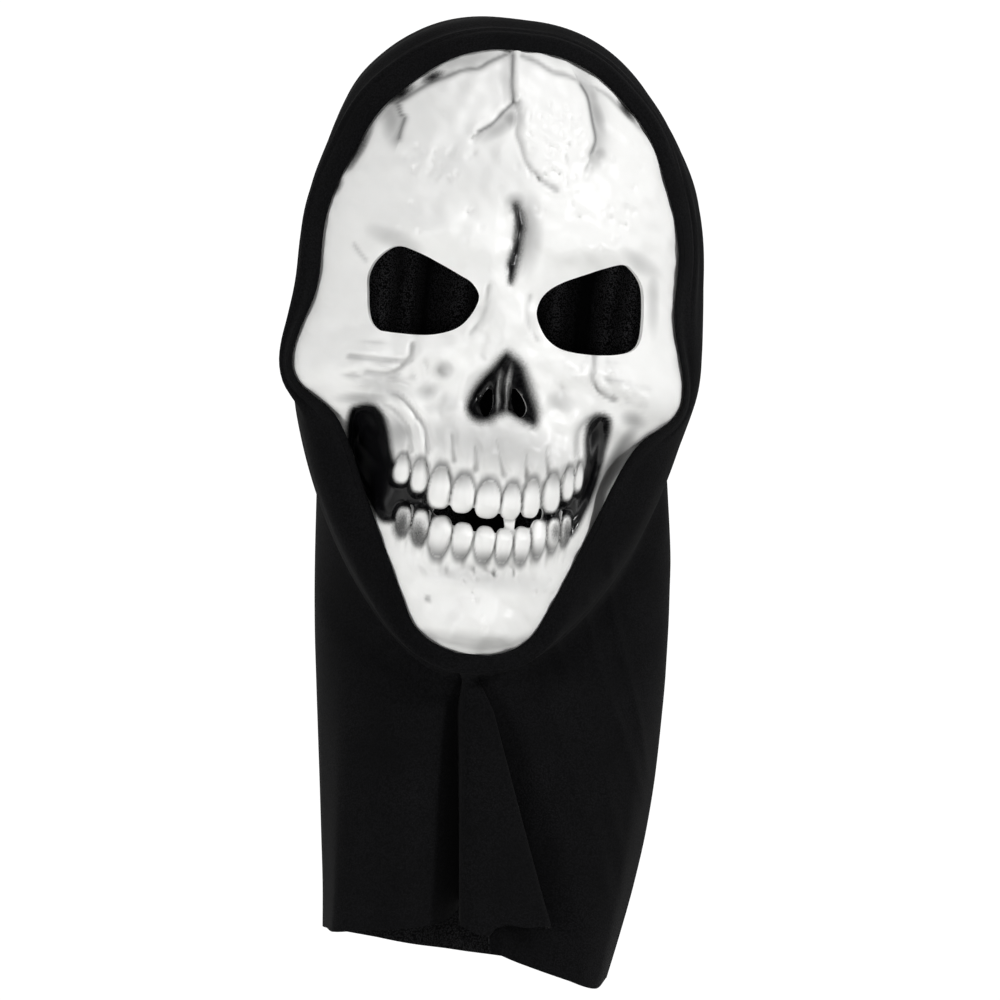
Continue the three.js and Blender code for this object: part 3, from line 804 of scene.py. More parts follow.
cut_away = (hole_field(places.reshape(-1, 2)) < 0).reshape(turn_grid.shape)
padded = np.pad(~cut_away, 1, constant_values=True)
shifts = [(r, c) for r in (0, 1, 2) for c in (0, 1, 2)]
beside_plastic = np.any([padded[r:r + face_rows, c:c + FACE_COLUMNS] for r, c in shifts], axis=0)
on_edge = cut_away & beside_plastic
edge_places = places[on_edge]
for _ in range(EDGE_STEPS):
    field = hole_field(edge_places)
    slope = np.stack([(hole_field(edge_places + nudge) - field) / EDGE_NUDGE
                      for nudge in np.eye(2) * EDGE_NUDGE], 1)
    edge_places = edge_places - slope * (field / np.maximum((slope ** 2).sum(1), LEAST_SLOPE))[:, None]
places[on_edge] = edge_places
print(f"{face_rows} rows, {on_edge.sum()} points moved onto cut edges")

# %% Outer and inner face
FACE_WALL = 1.6
NEAR_TURN = 0.02


def face_points(places, relief):
    """Points of the formed face at (across, up) places with a fine relief."""
    across, up = places[:, 0], places[:, 1]
    return np.stack([across, large_y(across, up) - relief * rim_fade(across, up), up], 1)


def blank_normal(places):
    """The outward direction of the smooth bowl at (across, up) places."""
    up = places[:, 1]
    turn = turn_at(places[:, 0], up)
    sideways = blank_point(turn + NEAR_TURN, up) - blank_point(turn - NEAR_TURN, up)
    upright = blank_point(turn, up + 1) - blank_point(turn, up - 1)
    normal = np.cross(sideways, upright)
    return normal / np.linalg.norm(normal, axis=1, keepdims=True)


def grid_quads(rows, columns, wraps):
    """The corners of each cell of a grid of points. A wrapped grid closes on itself sideways."""
    row, col = np.meshgrid(np.arange(rows - 1), np.arange(columns if wraps else columns - 1), indexing="ij")
    after = (col + 1) % columns
    here, above = row * columns, (row + 1) * columns
    return np.stack([here + col, here + after, above + after, above + col], -1).reshape(-1, 4)


def closed_wall(outer, inner, quads):
    """The faces of a wall between two layers of points, with a strip along each border."""
    count = len(outer)
    starts, ends = quads.ravel(), np.roll(quads, -1, 1).ravel()
    border = ~np.isin(starts * count + ends, ends * count + starts)
    starts, ends = starts[border], ends[border]
    strips = np.stack([ends, starts, starts + count, ends + count], 1)
    return np.vstack([outer, inner]), np.vstack([quads, quads[:, ::-1] + count, strips])


flat_places = places.reshape(-1, 2)
quads = grid_quads(face_rows, FACE_COLUMNS, False)
quads = quads[(~cut_away.ravel()[quads]).any(1)]
used, renumbered = np.unique(quads, return_inverse=True)
sheet_places = flat_places[used]
carved_grid = carved_relief(flat_places).reshape(turn_grid.shape)
face_outer = face_points(sheet_places, carved_grid.ravel()[used] + worn_relief(sheet_places))
face_inner = face_outer - FACE_WALL * blank_normal(sheet_places)
face_mesh_points, face_mesh_quads = closed_wall(face_outer, face_inner, renumbered.reshape(-1, 4))
print(f"face: {2 * len(face_mesh_quads)} triangles")

# %% [markdown]
# ## Airbrushed black and grey, with painted shade
#
# The black is sprayed by hand after forming: solid in the hollows, nose and mouth corners, soft at its edges,
# thin along cracks and at the gums. Two numbers at each point of the mesh carry it, one for solid black and
# one for thin grey, and the material mixes its colours by them. The black follows the outlines that shape the
# hollows. Much of the grey is painted shade: the soft shades of grey away from cracks and gums, placed from
# the photograph, and the grey in recesses, between the teeth and on the sloping side of each crack. The
# smudges, also placed from the photograph, are partly painted shadow, and two pale streaks down the septum
# are painted highlights.

# %% Solid black, with some painted shadow
HOLLOW_SOFT = 1.8
NOSE_SOFT = 3.2
CREASE_SOFT = 2.3
UP_TO_TEETH = (-1.0, 0.3)
SMUDGE_AND_SHADOW_POWER = 0.5
# Dark spots over the outer lower teeth, at the mouth's right corner and along the crown's left edge: partly
# black paint, partly painted shadow.
SMUDGES_AND_SHADOWS = table(
    "x y half_width half_height tilt amount",
    (402, 94, 18, 6, 42, 1.0),
    (433, 77, 14, 6, 33, 1.0),
    (356, 149, 8, 34, -24, 0.95),
    (336, 186, 6, 14, -18, 0.9),
    (627, 111, 17, 6, -44, 0.95),
    (401, 524, 10, 19, 0, 0.9),
    (418, 533, 11, 17, 15, 0.82),
    (556, 532, 8, 12, 0, 0.75),
    (567, 532, 8, 17, 0, 0.88),
)
# Two pale streaks down the septum, where the black is thinned: painted highlights on its ridges.
SEPTUM_HIGHLIGHTS = table(
    "x y half_width half_height tilt amount",
    (499, 391, 3, 27, 0, 0.5),
    (508, 388, 3.5, 30, 0, 0.6),
)


def sprayed(distance, soft):
    """Full paint inside an outline, fading to none a little outside it."""
    return 1 - smooth_step(distance, -soft, soft)


tooth_gaps = gaps_to_teeth(sheet_places)
black = np.maximum.reduce([
    sprayed(outside_by(sheet_places, left_hollow), HOLLOW_SOFT),
    sprayed(outside_by(sheet_places, right_hollow), HOLLOW_SOFT),
    sprayed(outside_by(sheet_places, nose_cavity), NOSE_SOFT),
    sprayed(outside_by(sheet_places, brow_crease), CREASE_SOFT),
])
black *= smooth_step(tooth_gaps[0], *UP_TO_TEETH)
for streak in SEPTUM_HIGHLIGHTS:
    black *= 1 - streak.amount * swelling(spot_reach(sheet_places, streak))
for dark_spot in SMUDGES_AND_SHADOWS:
    black = np.maximum(black, dark_spot.amount * swelling(spot_reach(sheet_places, dark_spot)) ** SMUDGE_AND_SHADOW_POWER)
print(f"{(black > 0.5).mean():.0%} of the sheet is black")

# %% Grey mist and painted shade
# Soft grey patches beside the cracks, round the eyes, on the cheeks, upper lip, forehead and chin: painted
# shade, with a little sprayed grey among it.
PAINTED_SHADES = table(
    "x y half_width half_height tilt amount",
    (507, 78, 11, 38, 0, 0.32),
    (511, 118, 14, 14, 40, 0.55),
    (490, 172, 66, 44, 0, 0.12),
    (498, 128, 30, 11, 40, 0.42),
    (470, 61, 44, 11, 17, 0.4),
    (392, 120, 13, 28, 0, 0.5),
    (597, 114, 11, 40, 17, 0.55),
    (593, 97, 10, 18, 17, 0.5),
    (599, 152, 12, 12, 0, 0.5),
    (396, 240, 34, 13, -20, 0.35),
    (642, 264, 32, 12, -25, 0.3),
    (653, 302, 10, 44, 5, 0.3),
    (528, 232, 18, 50, 3, 0.5),
    (516, 202, 16, 14, 0, 0.5),
    (443, 370, 13, 12, 0, 0.45),
    (428, 391, 16, 12, 20, 0.35),
    (382, 386, 36, 16, -10, 0.34),
    (396, 431, 17, 28, 12, 0.5),
    (364, 398, 32, 9, 8, 0.55),
    (613, 462, 12, 64, -21, 0.65),
    (634, 421, 20, 11, -15, 0.5),
    (478, 642, 74, 13, 0, 0.28),
    (495, 446, 105, 32, -4, 0.38),
    (503, 434, 50, 13, 0, 0.3),
    (487, 578, 90, 16, -3, 0.2),
)
SHADE_POWER = 0.7
CRACK_SHADE = 0.6
CRACK_SHADE_WIDTH = 0.8
CORE_GREY_AND_SHADE = 0.78
CORE_HALF_WIDTH = 1.2
CORE_DEPTHS = (0.4, 1.3)
SOME_GREY = 0.2

grey_and_shade = np.zeros(len(sheet_places))
for shade in PAINTED_SHADES:
    grey_and_shade = np.maximum(grey_and_shade, shade.amount * swelling(spot_reach(sheet_places, shade)) ** SHADE_POWER)
# Each crack gets a soft grey on its sloping side and a thin dark core: painted shade, with some sprayed grey
# in the core.
for crack in cracks:
    darkest = CRACK_SHADE * crack.depth / math.sqrt(abs(crack.soft))
    grey_and_shade = np.maximum(grey_and_shade, darkest * np.exp(-(crack_reach(sheet_places, crack) / CRACK_SHADE_WIDTH) ** 2))
    core = CORE_GREY_AND_SHADE * smooth_step(crack.depth, *CORE_DEPTHS)
    grey_and_shade = np.maximum(grey_and_shade, core * np.exp(-(distance_to(sheet_places, crack.line) / CORE_HALF_WIDTH) ** 2))
print(f"{(grey_and_shade > SOME_GREY).mean():.0%} of the sheet has some grey in its shades and cracks")

# %% Grey at the gums, and painted shade between the teeth and in recesses
UPPER_GUM_GREY = 0.6
LOWER_GUM_GREY = 0.8
GUM_LINE_GREY = 0.72
GUM_SPREAD = 0.34
GAP_SHADE = 0.7
OFF_TEETH = (-0.6, 0.1)
TOOTH_EDGE = (0.9, 1.06)
ON_TO_GUM = (0.0, 1.1)
NEAR_GUM = (-0.6, 0.8)
BETWEEN_TEETH = (0.2, 1.7)
ALONG_GAP = (-1.2, -0.2)
RECESS_SHADE = 0.38
RECESS_CELLS = 3
RECESS_DEPTHS = (0.06, 0.9)

# Grey on each tooth towards its gum and just outside its gum end; between the teeth it is darker, which is
# painted shade.
off_teeth = smooth_step(tooth_gaps[0], *OFF_TEETH)
between = 1 - smooth_step(tooth_gaps[1], *BETWEEN_TEETH)
gum_line_and_gap_shade = GUM_LINE_GREY + (1 - GUM_LINE_GREY) * between
for tooth in teeth:
    across, to_gum = tooth_reach(sheet_places, tooth)
    share = tooth_share(sheet_places, tooth)
    on_tooth = 1 - smooth_step(share, *TOOTH_EDGE)
    amount = UPPER_GUM_GREY if tooth.root_way > 0 else LOWER_GUM_GREY
    grey_and_shade = np.maximum(grey_and_shade, amount * on_tooth * smooth_step(to_gum, *ON_TO_GUM))
    spread = np.exp(-(np.clip(share - 1, 0, None) / GUM_SPREAD) ** 2)
    grey_and_shade = np.maximum(grey_and_shade, off_teeth * spread * smooth_step(to_gum, *NEAR_GUM) * gum_line_and_gap_shade)
    in_gap = smooth_step(to_gum, *ALONG_GAP)
    grey_and_shade = np.maximum(grey_and_shade, GAP_SHADE * off_teeth * spread * between * in_gap)
# Grey where the carved relief lies below its surroundings: painted shade in cracks, folds, root grooves and
# round bumps.
ways = [(r, c) for r in (-RECESS_CELLS, 0, RECESS_CELLS) for c in (-RECESS_CELLS, 0, RECESS_CELLS)]
around = np.mean([np.roll(carved_grid, way, (0, 1)) for way in ways], axis=0)
recess = (around - carved_grid).ravel()[used]
grey_and_shade = np.maximum(grey_and_shade, RECESS_SHADE * smooth_step(recess, *RECESS_DEPTHS))
print(f"{(grey_and_shade > SOME_GREY).mean():.0%} of the sheet has some grey in all")

# %% [markdown]
# ## PVC, vacuum-formed and airbrushed
#
# The sheet is white PVC. Forming leaves it satin with a faint orange peel, and the sprayed lacquer is
# glossier than the bare sheet. So the eye gets a broad soft sheen on white, and small hard highlights
# in the black. The spray breaks up into specks at its soft edges. Real specks are about 0.2 mm, and are
# drawn at 0.9 mm so that they show.

# %% The PVC material
SPECK_MM = 0.9
ORANGE_PEEL_MM = 2.2
PEEL_DEPTH_MM = 0.4
MOTTLE_MM = 16


def per_metre(millimetres):
    """The scale of a pattern whose features have this size, in metres of the part."""
    return 1 / (millimetres * MM)


pvc = bpy.data.materials.new("white_pvc_airbrushed_with_painted_shade")
pvc.use_nodes = True
tree = pvc.node_tree
shader = tree.nodes["Principled BSDF"]
shader.inputs["IOR"].default_value = 1.53
shader.inputs["Specular IOR Level"].default_value = 0.4
where = add_node(tree, "ShaderNodeTexCoord", {}, {}).outputs["Object"]
black_at = add_node(tree, "ShaderNodeAttribute", {"attribute_name": "black"}, {}).outputs["Fac"]
grey_and_shade_at = add_node(tree, "ShaderNodeAttribute", {"attribute_name": "grey_and_shade"}, {}).outputs["Fac"]
specks = add_node(tree, "ShaderNodeTexNoise", {}, {
    "Vector": where, "Scale": per_metre(SPECK_MM), "Detail": 2})
speck_range = add_node(tree, "ShaderNodeMapRange", {}, {
    "Value": specks.outputs["Fac"], "From Min": 0.3, "From Max": 0.7, "To Min": -0.3, "To Max": 0.3})
soft_part = add_node(tree, "ShaderNodeMath", {"operation": "PINGPONG"}, {0: black_at, 1: 0.5})
broken = add_node(tree, "ShaderNodeMath", {"operation": "MULTIPLY_ADD", "use_clamp": True}, {
    0: speck_range.outputs["Result"], 1: soft_part.outputs[0], 2: black_at})
mottle = add_node(tree, "ShaderNodeTexNoise", {}, {
    "Vector": where, "Scale": per_metre(MOTTLE_MM), "Detail": 3})
whites = add_node(tree, "ShaderNodeMix", {"data_type": "RGBA"}, {
    0: mottle.outputs["Fac"], 6: linear("#F7F7F6"), 7: linear("#EFEFED")})
# The grey number darkens the white: grey at the gums, and painted shade beside cracks, in recesses, between
# teeth and in the soft grey patches.
greyed_and_shaded = add_node(tree, "ShaderNodeMix", {"data_type": "RGBA"}, {
    0: grey_and_shade_at, 6: whites.outputs[2], 7: linear("#343436")})
coloured = add_node(tree, "ShaderNodeMix", {"data_type": "RGBA"}, {
    0: broken.outputs[0], 6: greyed_and_shaded.outputs[2], 7: linear("#08080A")})
tree.links.new(coloured.outputs[2], shader.inputs["Base Color"])
satin = add_node(tree, "ShaderNodeMapRange", {}, {
    "Value": broken.outputs[0], "To Min": 0.42, "To Max": 0.24})
tree.links.new(satin.outputs["Result"], shader.inputs["Roughness"])
peel = add_node(tree, "ShaderNodeTexNoise", {}, {
    "Vector": where, "Scale": per_metre(ORANGE_PEEL_MM), "Detail": 2})
bump = add_node(tree, "ShaderNodeBump", {}, {
    "Height": peel.outputs["Fac"], "Strength": 0.12, "Distance": PEEL_DEPTH_MM * MM})
tree.links.new(bump.outputs["Normal"], shader.inputs["Normal"])
print("PVC nodes:", len(tree.nodes))

# %% The face as a piece
SHARP_ANGLE = math.radians(55)


def add_piece(name, points, faces, material, replaced):
    """A smooth mesh from points in millimetres, which rides with the part and stands for a node of it."""
    mesh = bpy.data.meshes.new(name)
    mesh.from_pydata(to_part(points).tolist(), [], faces.tolist())
    mesh.polygons.foreach_set("use_smooth", np.ones(len(mesh.polygons), bool))
    mesh.set_sharp_from_angle(angle=SHARP_ANGLE)
    mesh.materials.append(material)
    piece = bpy.data.objects.new(name, mesh)
    bpy.context.collection.objects.link(piece)
    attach(piece, "root")
    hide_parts(replaced)
    return piece


face = add_piece("skull_face", face_mesh_points, face_mesh_quads, pvc, "face_shell")
# The grey number carries painted shade as well as the grey at the gums.
for name, amount in (("black", black), ("grey_and_shade", grey_and_shade)):
    on_both_sides = np.concatenate([amount, np.zeros(len(face_inner))]).astype(np.float32)
    face.data.attributes.new(name, "FLOAT", "POINT").data.foreach_set("value", on_both_sides)
print("face:", len(face.data.vertices), "vertices")

# %% [markdown]
# ## The rolled hem
#
# The hood's opening is turned over into a flat doubled band, which lies on the edge of the face all
# round. It is a long thin ellipse swept round the rim. It lies on the plastic a little inside the rim
# and leans back as it goes outward, and its thickness wanders a little, as a hem sewn by hand does.

# %% Frames round the opening
CLOTH_COLUMNS = 420
HEM_WIDTH = 8
HEM_THICKNESS = 2.6
HEM_PLACES = table(
    "up lap back lift",
    (167, 5, 35, 1.1),
    (107, 4, 45, 1.1),
    (85, 3, 50, 1.2),
    (60, 3, 55, 1.3),
    (40, 3.8, 60, 1.5),
    (24, 3, 70, 2),
    (10, 2.4, 73, 2.1),
    (0, 2.2, 72, 2.2),
    (-9, 2.8, 66, 2.4),
    (-21, 7, 55, 2),
    (-33, 6.5, 50, 1.4),
    (-58, 5, 42, 1.1),
    (-104, 4.5, 38, 1.1),
    (-129.5, 3, 35, 1.1),
)
FRONT_CROWDING = 0.8
OPENING_SQUARENESS = 2
FAR_SQUARENESS = 2.4
RIM_PASSES = 8
HEM_PASSES = 4
ON_MIDDLE = 1e-6


def turn_round(share):
    """The angle round a loop, from the chin, with the shares crowded at the front."""
    return 2 * math.pi * share - FRONT_CROWDING * np.sin(2 * math.pi * share)


def loop_place(share, near_squareness):
    """A place on a loop from the chin up the right side and back down the left: side -1 to 1, far 0 to 1."""
    turn = turn_round(share)
    power = 2 / np.where(np.cos(turn) > 0, near_squareness, FAR_SQUARENESS)
    side = np.sign(np.sin(turn)) * np.abs(np.sin(turn)) ** power
    far = np.sign(np.cos(turn)) * np.abs(np.cos(turn)) ** power
    return side, (1 - far) / 2


def rim_point(share):
    """The (across, up) place on the face's rim at a share of the way round."""
    side, far = loop_place(share, OPENING_SQUARENESS)
    up = CHIN_UP + (CROWN_UP - CHIN_UP) * far
    return np.stack([np.where(np.abs(side) < ON_MIDDLE, 0, np.sign(side) * rim_half_width(up)), up], -1)


def softened(values, passes):
    """Values round a loop, each moved towards the middle of its neighbours."""
    for _ in range(passes):
        values = (np.roll(values, 1, 0) + 2 * values + np.roll(values, -1, 0)) / 4
    return values


shares = np.arange(CLOTH_COLUMNS) / CLOTH_COLUMNS
rim = rim_point(shares)
along_rim = softened(np.roll(rim, -1, 0) - np.roll(rim, 1, 0), RIM_PASSES)
along_rim /= np.linalg.norm(along_rim, axis=1, keepdims=True)
outward = np.stack([along_rim[:, 1], np.zeros(CLOTH_COLUMNS), -along_rim[:, 0]], 1)
hem_rows = HEM_PLACES[::-1]
hem_ups = column(hem_rows, "up")
hem_curves = [smooth_curve(hem_ups, column(hem_rows, name)) for name in ("lap", "back", "lift")]
lap, lean, lift = (curve(rim[:, 1])[:, None] for curve in hem_curves)
lap_places = rim - lap * outward[:, [0, 2]]
lap_blank = blank_point(turn_at(lap_places[:, 0], lap_places[:, 1]), lap_places[:, 1])
hem_inside = face_points(lap_places, carved_relief(lap_places))
hem_inside[:, 1] = np.minimum(hem_inside[:, 1], lap_blank[:, 1])
backward = np.array([0, 1, 0])
hem_across = np.cos(np.radians(lean)) * outward + np.sin(np.radians(lean)) * backward
hem_front = np.sin(np.radians(lean)) * outward - np.cos(np.radians(lean)) * backward
hem_inside = softened(hem_inside + lift * hem_front, HEM_PASSES)
print(f"opening {np.ptp(hem_inside[:, 0]):.0f} by {np.ptp(hem_inside[:, 2]):.0f} mm")

# %% The hem's ring
HEM_SIDES = 16
WANDER = 0.12
WANDER_WAVES = (7, 12, 19)
waves = [np.sin(2 * math.pi * (count * shares + chance.uniform())) for count in WANDER_WAVES]
wander = sum(wave / len(WANDER_WAVES) for wave in waves)
angles = np.linspace(0, 2 * math.pi, HEM_SIDES, endpoint=False)[:, None, None]
thick = (HEM_THICKNESS / 2) * (1 + WANDER * wander)[None, :, None]
sideways = (HEM_WIDTH / 2) * (1 - np.cos(angles)) * hem_across
hem_points = (hem_inside + sideways + thick * np.sin(angles) * hem_front).reshape(-1, 3)
hem_quads = grid_quads(HEM_SIDES + 1, CLOTH_COLUMNS, True) % (HEM_SIDES * CLOTH_COLUMNS)
print(f"hem: {2 * len(hem_quads)} triangles")

# %% [markdown]
# ## The hood and its cape
#
# The hood is one sewn piece of knit, from the hem over the crown and round the back of the head, and
# down into the hanging cape. It is lofted through sections, as a pattern cutter drapes cloth on a form.
# Each section is a loop from its near point, under the chin, to its far point, on the crown or the back.
# Cloth simulation could drape it, but folds that must fall where the photograph shows them are easier to
# place one by one.

# %% Sections of the hood
HOOD_SECTIONS = table(
    "near_y near_up far_y far_up bow left right slope square opening",
    (-46, -134, 0, 175.5, 29, 103.8, 101, 0, 1.9, 0.6),
    (-45, -136, 30, 180, 22, 97, 103, 0, 1.75, 0.22),
    (-44, -138, 66, 172, 17, 93.5, 103, 0, 1.7, 0.06),
    (-43.5, -140, 101, 141, 12, 86.5, 97.5, 0, 1.7, 0),
    (-43, -142, 122, 94, 8, 75, 92.5, 0, 1.75, 0),
    (-43, -144, 130, 42, 5, 71.5, 98.5, 0, 1.85, 0),
    (-42.5, -146, 128, -12, 3, 69.5, 102, 0, 1.95, 0),
    (-42, -149, 117, -62, 0, 68, 102.5, 0, 2.1, 0),
    (-42, -152, 104, -106, 0, 66, 102.5, 0, 2.2, 0),
    (-42, -157, 92, -144, 0, 63.6, 102, 0.01, 2.3, 0),
    (-42, -177, 82, -174, 0, 60.8, 101.2, 0.03, 2.3, 0),
    (-42, -200, 75, -202, 0, 57.8, 99.2, 0.05, 2.3, 0),
    (-42, -225, 70, -229, 0, 54.8, 95.4, 0.08, 2.3, 0),
    (-42, -249, 66, -256, 0, 51.8, 90.3, 0.11, 2.3, 0),
    (-42, -268, 64, -274.5, 0, 50, 86.3, 0.12, 2.3, 0),
)
HOOD_SHIFT = table("up across", (-20, 0), (30, 2.4), (100, 2), (131, -1.5), (150, -4), (180, -3.5))
RINGS_PER_SECTION = 7
TURNED_SHARE = 0.4
CLOTH_WALL = 1.5
CHIN_FILL = 2.4
CHIN_SHARE = (0.03, 0.25)
hood_shift = smooth_curve(column(HOOD_SHIFT, "up"), column(HOOD_SHIFT, "across"))


def section_loop(section):
    """The points of one section of the hood."""
    side, far = loop_place(shares, section.square)
    across = side * np.where(side > 0, section.right, section.left)
    y = section.near_y + (section.far_y - section.near_y) * far + 4 * section.bow * far * (1 - far)
    up = section.near_up + (section.far_up - section.near_up) * far - section.slope * across * (1 - far / 2)
    return np.stack([across + hood_shift(up), y, up], 1)


opening_edge = hem_inside + HEM_WIDTH * hem_across
hem_crest = hem_inside + TURNED_SHARE * HEM_WIDTH * hem_across + (HEM_THICKNESS / 2 - CLOTH_WALL) * hem_front
at_chin = 1 - smooth_step(loop_place(shares, OPENING_SQUARENESS)[1], *CHIN_SHARE)
opening_edge = opening_edge + CHIN_FILL * at_chin[:, None] * hem_front
loops = [hem_crest, opening_edge]
for section in HOOD_SECTIONS:
    loops.append(section_loop(section) * (1 - section.opening) + opening_edge * section.opening)
ring_count = RINGS_PER_SECTION * (len(loops) - 1) + 1
ring_at = np.linspace(0, len(loops) - 1, ring_count)
draped = smooth_curve(np.arange(len(loops)), np.stack(loops))(ring_at)
print("hood grid:", draped.shape[:2])

# %% Creases along the crown
CREASE_RISE = 0.9
CREASE_SPACING = 0.75
CROWN_SHARE = (0.5, 0.75)
CREASES_FROM = (1.3, 1.8)
CREASES_TO = (2.8, 3.8)
STRAYS = table("size waves start", (0.3, 3, 0.2), (0.2, 7, 0.6))


def cloth_normals(rings):
    """The outward direction of the cloth at each point of its rings."""
    around = np.roll(rings, -1, 1) - np.roll(rings, 1, 1)
    along = np.gradient(rings, axis=0)
    normal = np.cross(along, around)
    return normal / np.linalg.norm(normal, axis=2, keepdims=True)


at_ring = ring_at[:, None]
crown = smooth_step(loop_place(shares, OPENING_SQUARENESS)[1], *CROWN_SHARE)
near_edge = smooth_step(at_ring, *CREASES_FROM) * (1 - smooth_step(at_ring, *CREASES_TO))
strays = sum(row.size * np.sin(2 * math.pi * (row.waves * shares + row.start)) for row in STRAYS)
crease = CREASE_RISE * near_edge * crown * np.sin(2 * math.pi * (at_ring / CREASE_SPACING + strays))
draped += crease[..., None] * cloth_normals(draped)
print(f"creases up to {np.abs(crease).max():.1f} mm")

# %% [markdown]
# ## Folds, pleat and creases
#
# Loose knit hangs in folds. Behind the head they are placed by the pale bands that show through the
# eyes, and on the back of the cape they are guessed. In front the cloth laps into one flat pleat: at
# its right edge it turns back under itself, and then runs on as the right panel. Its hem is given point
# by point from the photograph, and the cloth above it is drawn out to that line, the more the lower it
# hangs.

# %% Folds of the back
HEAD_BACK_Y = 118
EYE_LEVEL = 300
HEAD_FOLDS = table(
    "x half_width rise",
    (384, 12, -15),
    (411, 7, -11),
    (460, 15, -17),
    (555, 12, -15),
    (604, 6, -10),
    (623, 8, -13),
)
HEAD_FROM = (-90, -40)
HEAD_TO = (80, 125)
BEHIND_HEAD = (60, 100)
HEM_UP = -268
BACK_FOLDS = table(
    "top_up top_across hem_across half_width rise",
    (-40, 30, 45, 24, 9),
    (-60, -10, -4, 20, -8),
    (-40, -34, -34, 22, 9),
)
FOLD_TOP_WIDTH = 0.35
FOLD_GROWTH = 0.7
turn = turn_round(shares)
in_front = np.cos(turn) > 0
folded = draped.copy()
crest_light = np.zeros(draped.shape[:2])
at_head = smooth_step(draped[..., 2], *HEAD_FROM) * (1 - smooth_step(draped[..., 2], *HEAD_TO))
at_head = at_head * smooth_step(draped[..., 1], *BEHIND_HEAD)
# The crests of these folds are also kept, so that the reverse can be painted paler there as painted light.
for fold in HEAD_FOLDS:
    across = from_photo([(fold.x, EYE_LEVEL)], lambda across, up: np.full(len(up), HEAD_BACK_Y))[0, 0]
    crest = at_head * swelling(((draped[..., 0] - across) / fold.half_width) ** 2)
    folded[..., 1] += fold.rise * crest
    crest_light = np.maximum(crest_light, crest)
for fold in BACK_FOLDS:
    grown = np.clip((fold.top_up - draped[..., 2]) / (fold.top_up - HEM_UP), 0, 1)
    across = fold.top_across + (fold.hem_across - fold.top_across) * grown
    half_width = fold.half_width * (FOLD_TOP_WIDTH + (1 - FOLD_TOP_WIDTH) * grown)
    amount = grown ** FOLD_GROWTH * swelling(((draped[..., 0] - across) / half_width) ** 2)
    folded[..., 1] += np.where(in_front, 0, fold.rise * amount)
print(f"{len(HEAD_FOLDS)} folds behind the head, {len(BACK_FOLDS)} on the back of the cape")

# %% The lapped pleat in front
FOLDS_FROM_UP = -133
TOP_RING_UP = -152
HEM_GROWTH = (0.95, 0.6, 2)
FRONT_HEM = table(
    "top_across x y depth",
    (-56, 334, 932, -20),
    (-44, 358, 931, -33),
    (-32, 385, 930, -42),
    (-22, 410, 928, -46),
    (-15, 428, 925, -43),
    (-10, 443, 920, -35),
    (-7, 452, 912, -24),
    (-5, 458, 902, -10),
    (-3.5, 463, 897, -2),
    (-2.5, 464, 905, -20),
    (-1.5, 462, 917, -42),
    (-0.5, 463, 925, -49),
    (0.2, 472, 931, -53),
    (0.9, 487, 937, -55),
    (1.6, 502, 924, -56),
    (2.6, 526, 928, -57),
    (3.6, 546, 926, -55),
    (4.2, 549, 929, -50),
    (5, 535, 926, -45),
    (6.5, 510, 926, -40),
    (8, 490, 932, -37),
    (9.5, 488, 949, -35),
    (14, 500, 955, -34),
    (31, 527, 966, -39),
    (60, 566, 980, -43),
    (84, 592, 988, -28),
)
depths = column(FRONT_HEM, "depth")
hem_pixels = np.stack([column(FRONT_HEM, "x"), column(FRONT_HEM, "y")], 1)
hem_places = from_photo(hem_pixels, lambda across, up: depths)
hem_line = np.stack([hem_places[:, 0], depths, hem_places[:, 1]], 1)
top_ring = np.argmin(np.abs(draped[:, 0, 2] - TOP_RING_UP))
front = np.argsort(np.where(in_front, draped[top_ring, :, 0], np.inf))[:in_front.sum()]
top_across = draped[top_ring, front, 0]
rows_across = np.concatenate([top_across[:1], column(FRONT_HEM, "top_across"), top_across[-1:]])
hem_target = np.vstack([folded[-1, front[0]], hem_line, folded[-1, front[-1]]])
shift = smooth_curve(rows_across, hem_target)(top_across) - folded[-1, front]
grown = np.clip((FOLDS_FROM_UP - draped[:, front, 2]) / (FOLDS_FROM_UP - HEM_UP), 0, 1)[..., None]
folded[:, front] += shift * np.concatenate([grown ** power for power in HEM_GROWTH], -1)
hem_steps = np.linalg.norm(np.diff(folded[-1, front], axis=0), axis=1)
print(f"the front hem runs {hem_steps.sum():.0f} mm")

# %% Fine creases of the right panel
FINE_CREASES = table(
    "rise half_width pixels",
    (1.3, 2.2, [(610, 560), (624, 640), (640, 712), (652, 778)]),
    (1.3, 2.2, [(586, 596), (604, 680), (628, 748), (648, 800)]),
    (1.1, 2.4, [(556, 640), (582, 716), (606, 790), (626, 870)]),
    (1.0, 2.4, [(548, 690), (572, 766), (592, 836), (610, 900)]),
)
CREASE_DEPTH_Y = -40
FINE_CREASES_FROM = 20
right_panel = front[top_across > FINE_CREASES_FROM]
for fine in FINE_CREASES:
    line = from_photo(fine.pixels, lambda across, up: np.full(len(up), CREASE_DEPTH_Y))
    gap = distance_to(folded[:, right_panel][..., [0, 2]].reshape(-1, 2), line) / fine.half_width
    folded[:, right_panel, 1] -= fine.rise * np.exp(-gap ** 2).reshape(ring_count, -1)
print(f"{len(FINE_CREASES)} fine creases on the right panel")

# %% The cloth's two faces
hood_inner = folded
hood_outer = folded + CLOTH_WALL * cloth_normals(folded)
hood_quads = grid_quads(ring_count, CLOTH_COLUMNS, True)[:, ::-1]
hood_mesh_points, hood_mesh_quads = closed_wall(
    hood_outer.reshape(-1, 3), hood_inner.reshape(-1, 3), hood_quads)
print(f"hood: {2 * len(hood_mesh_quads)} triangles")

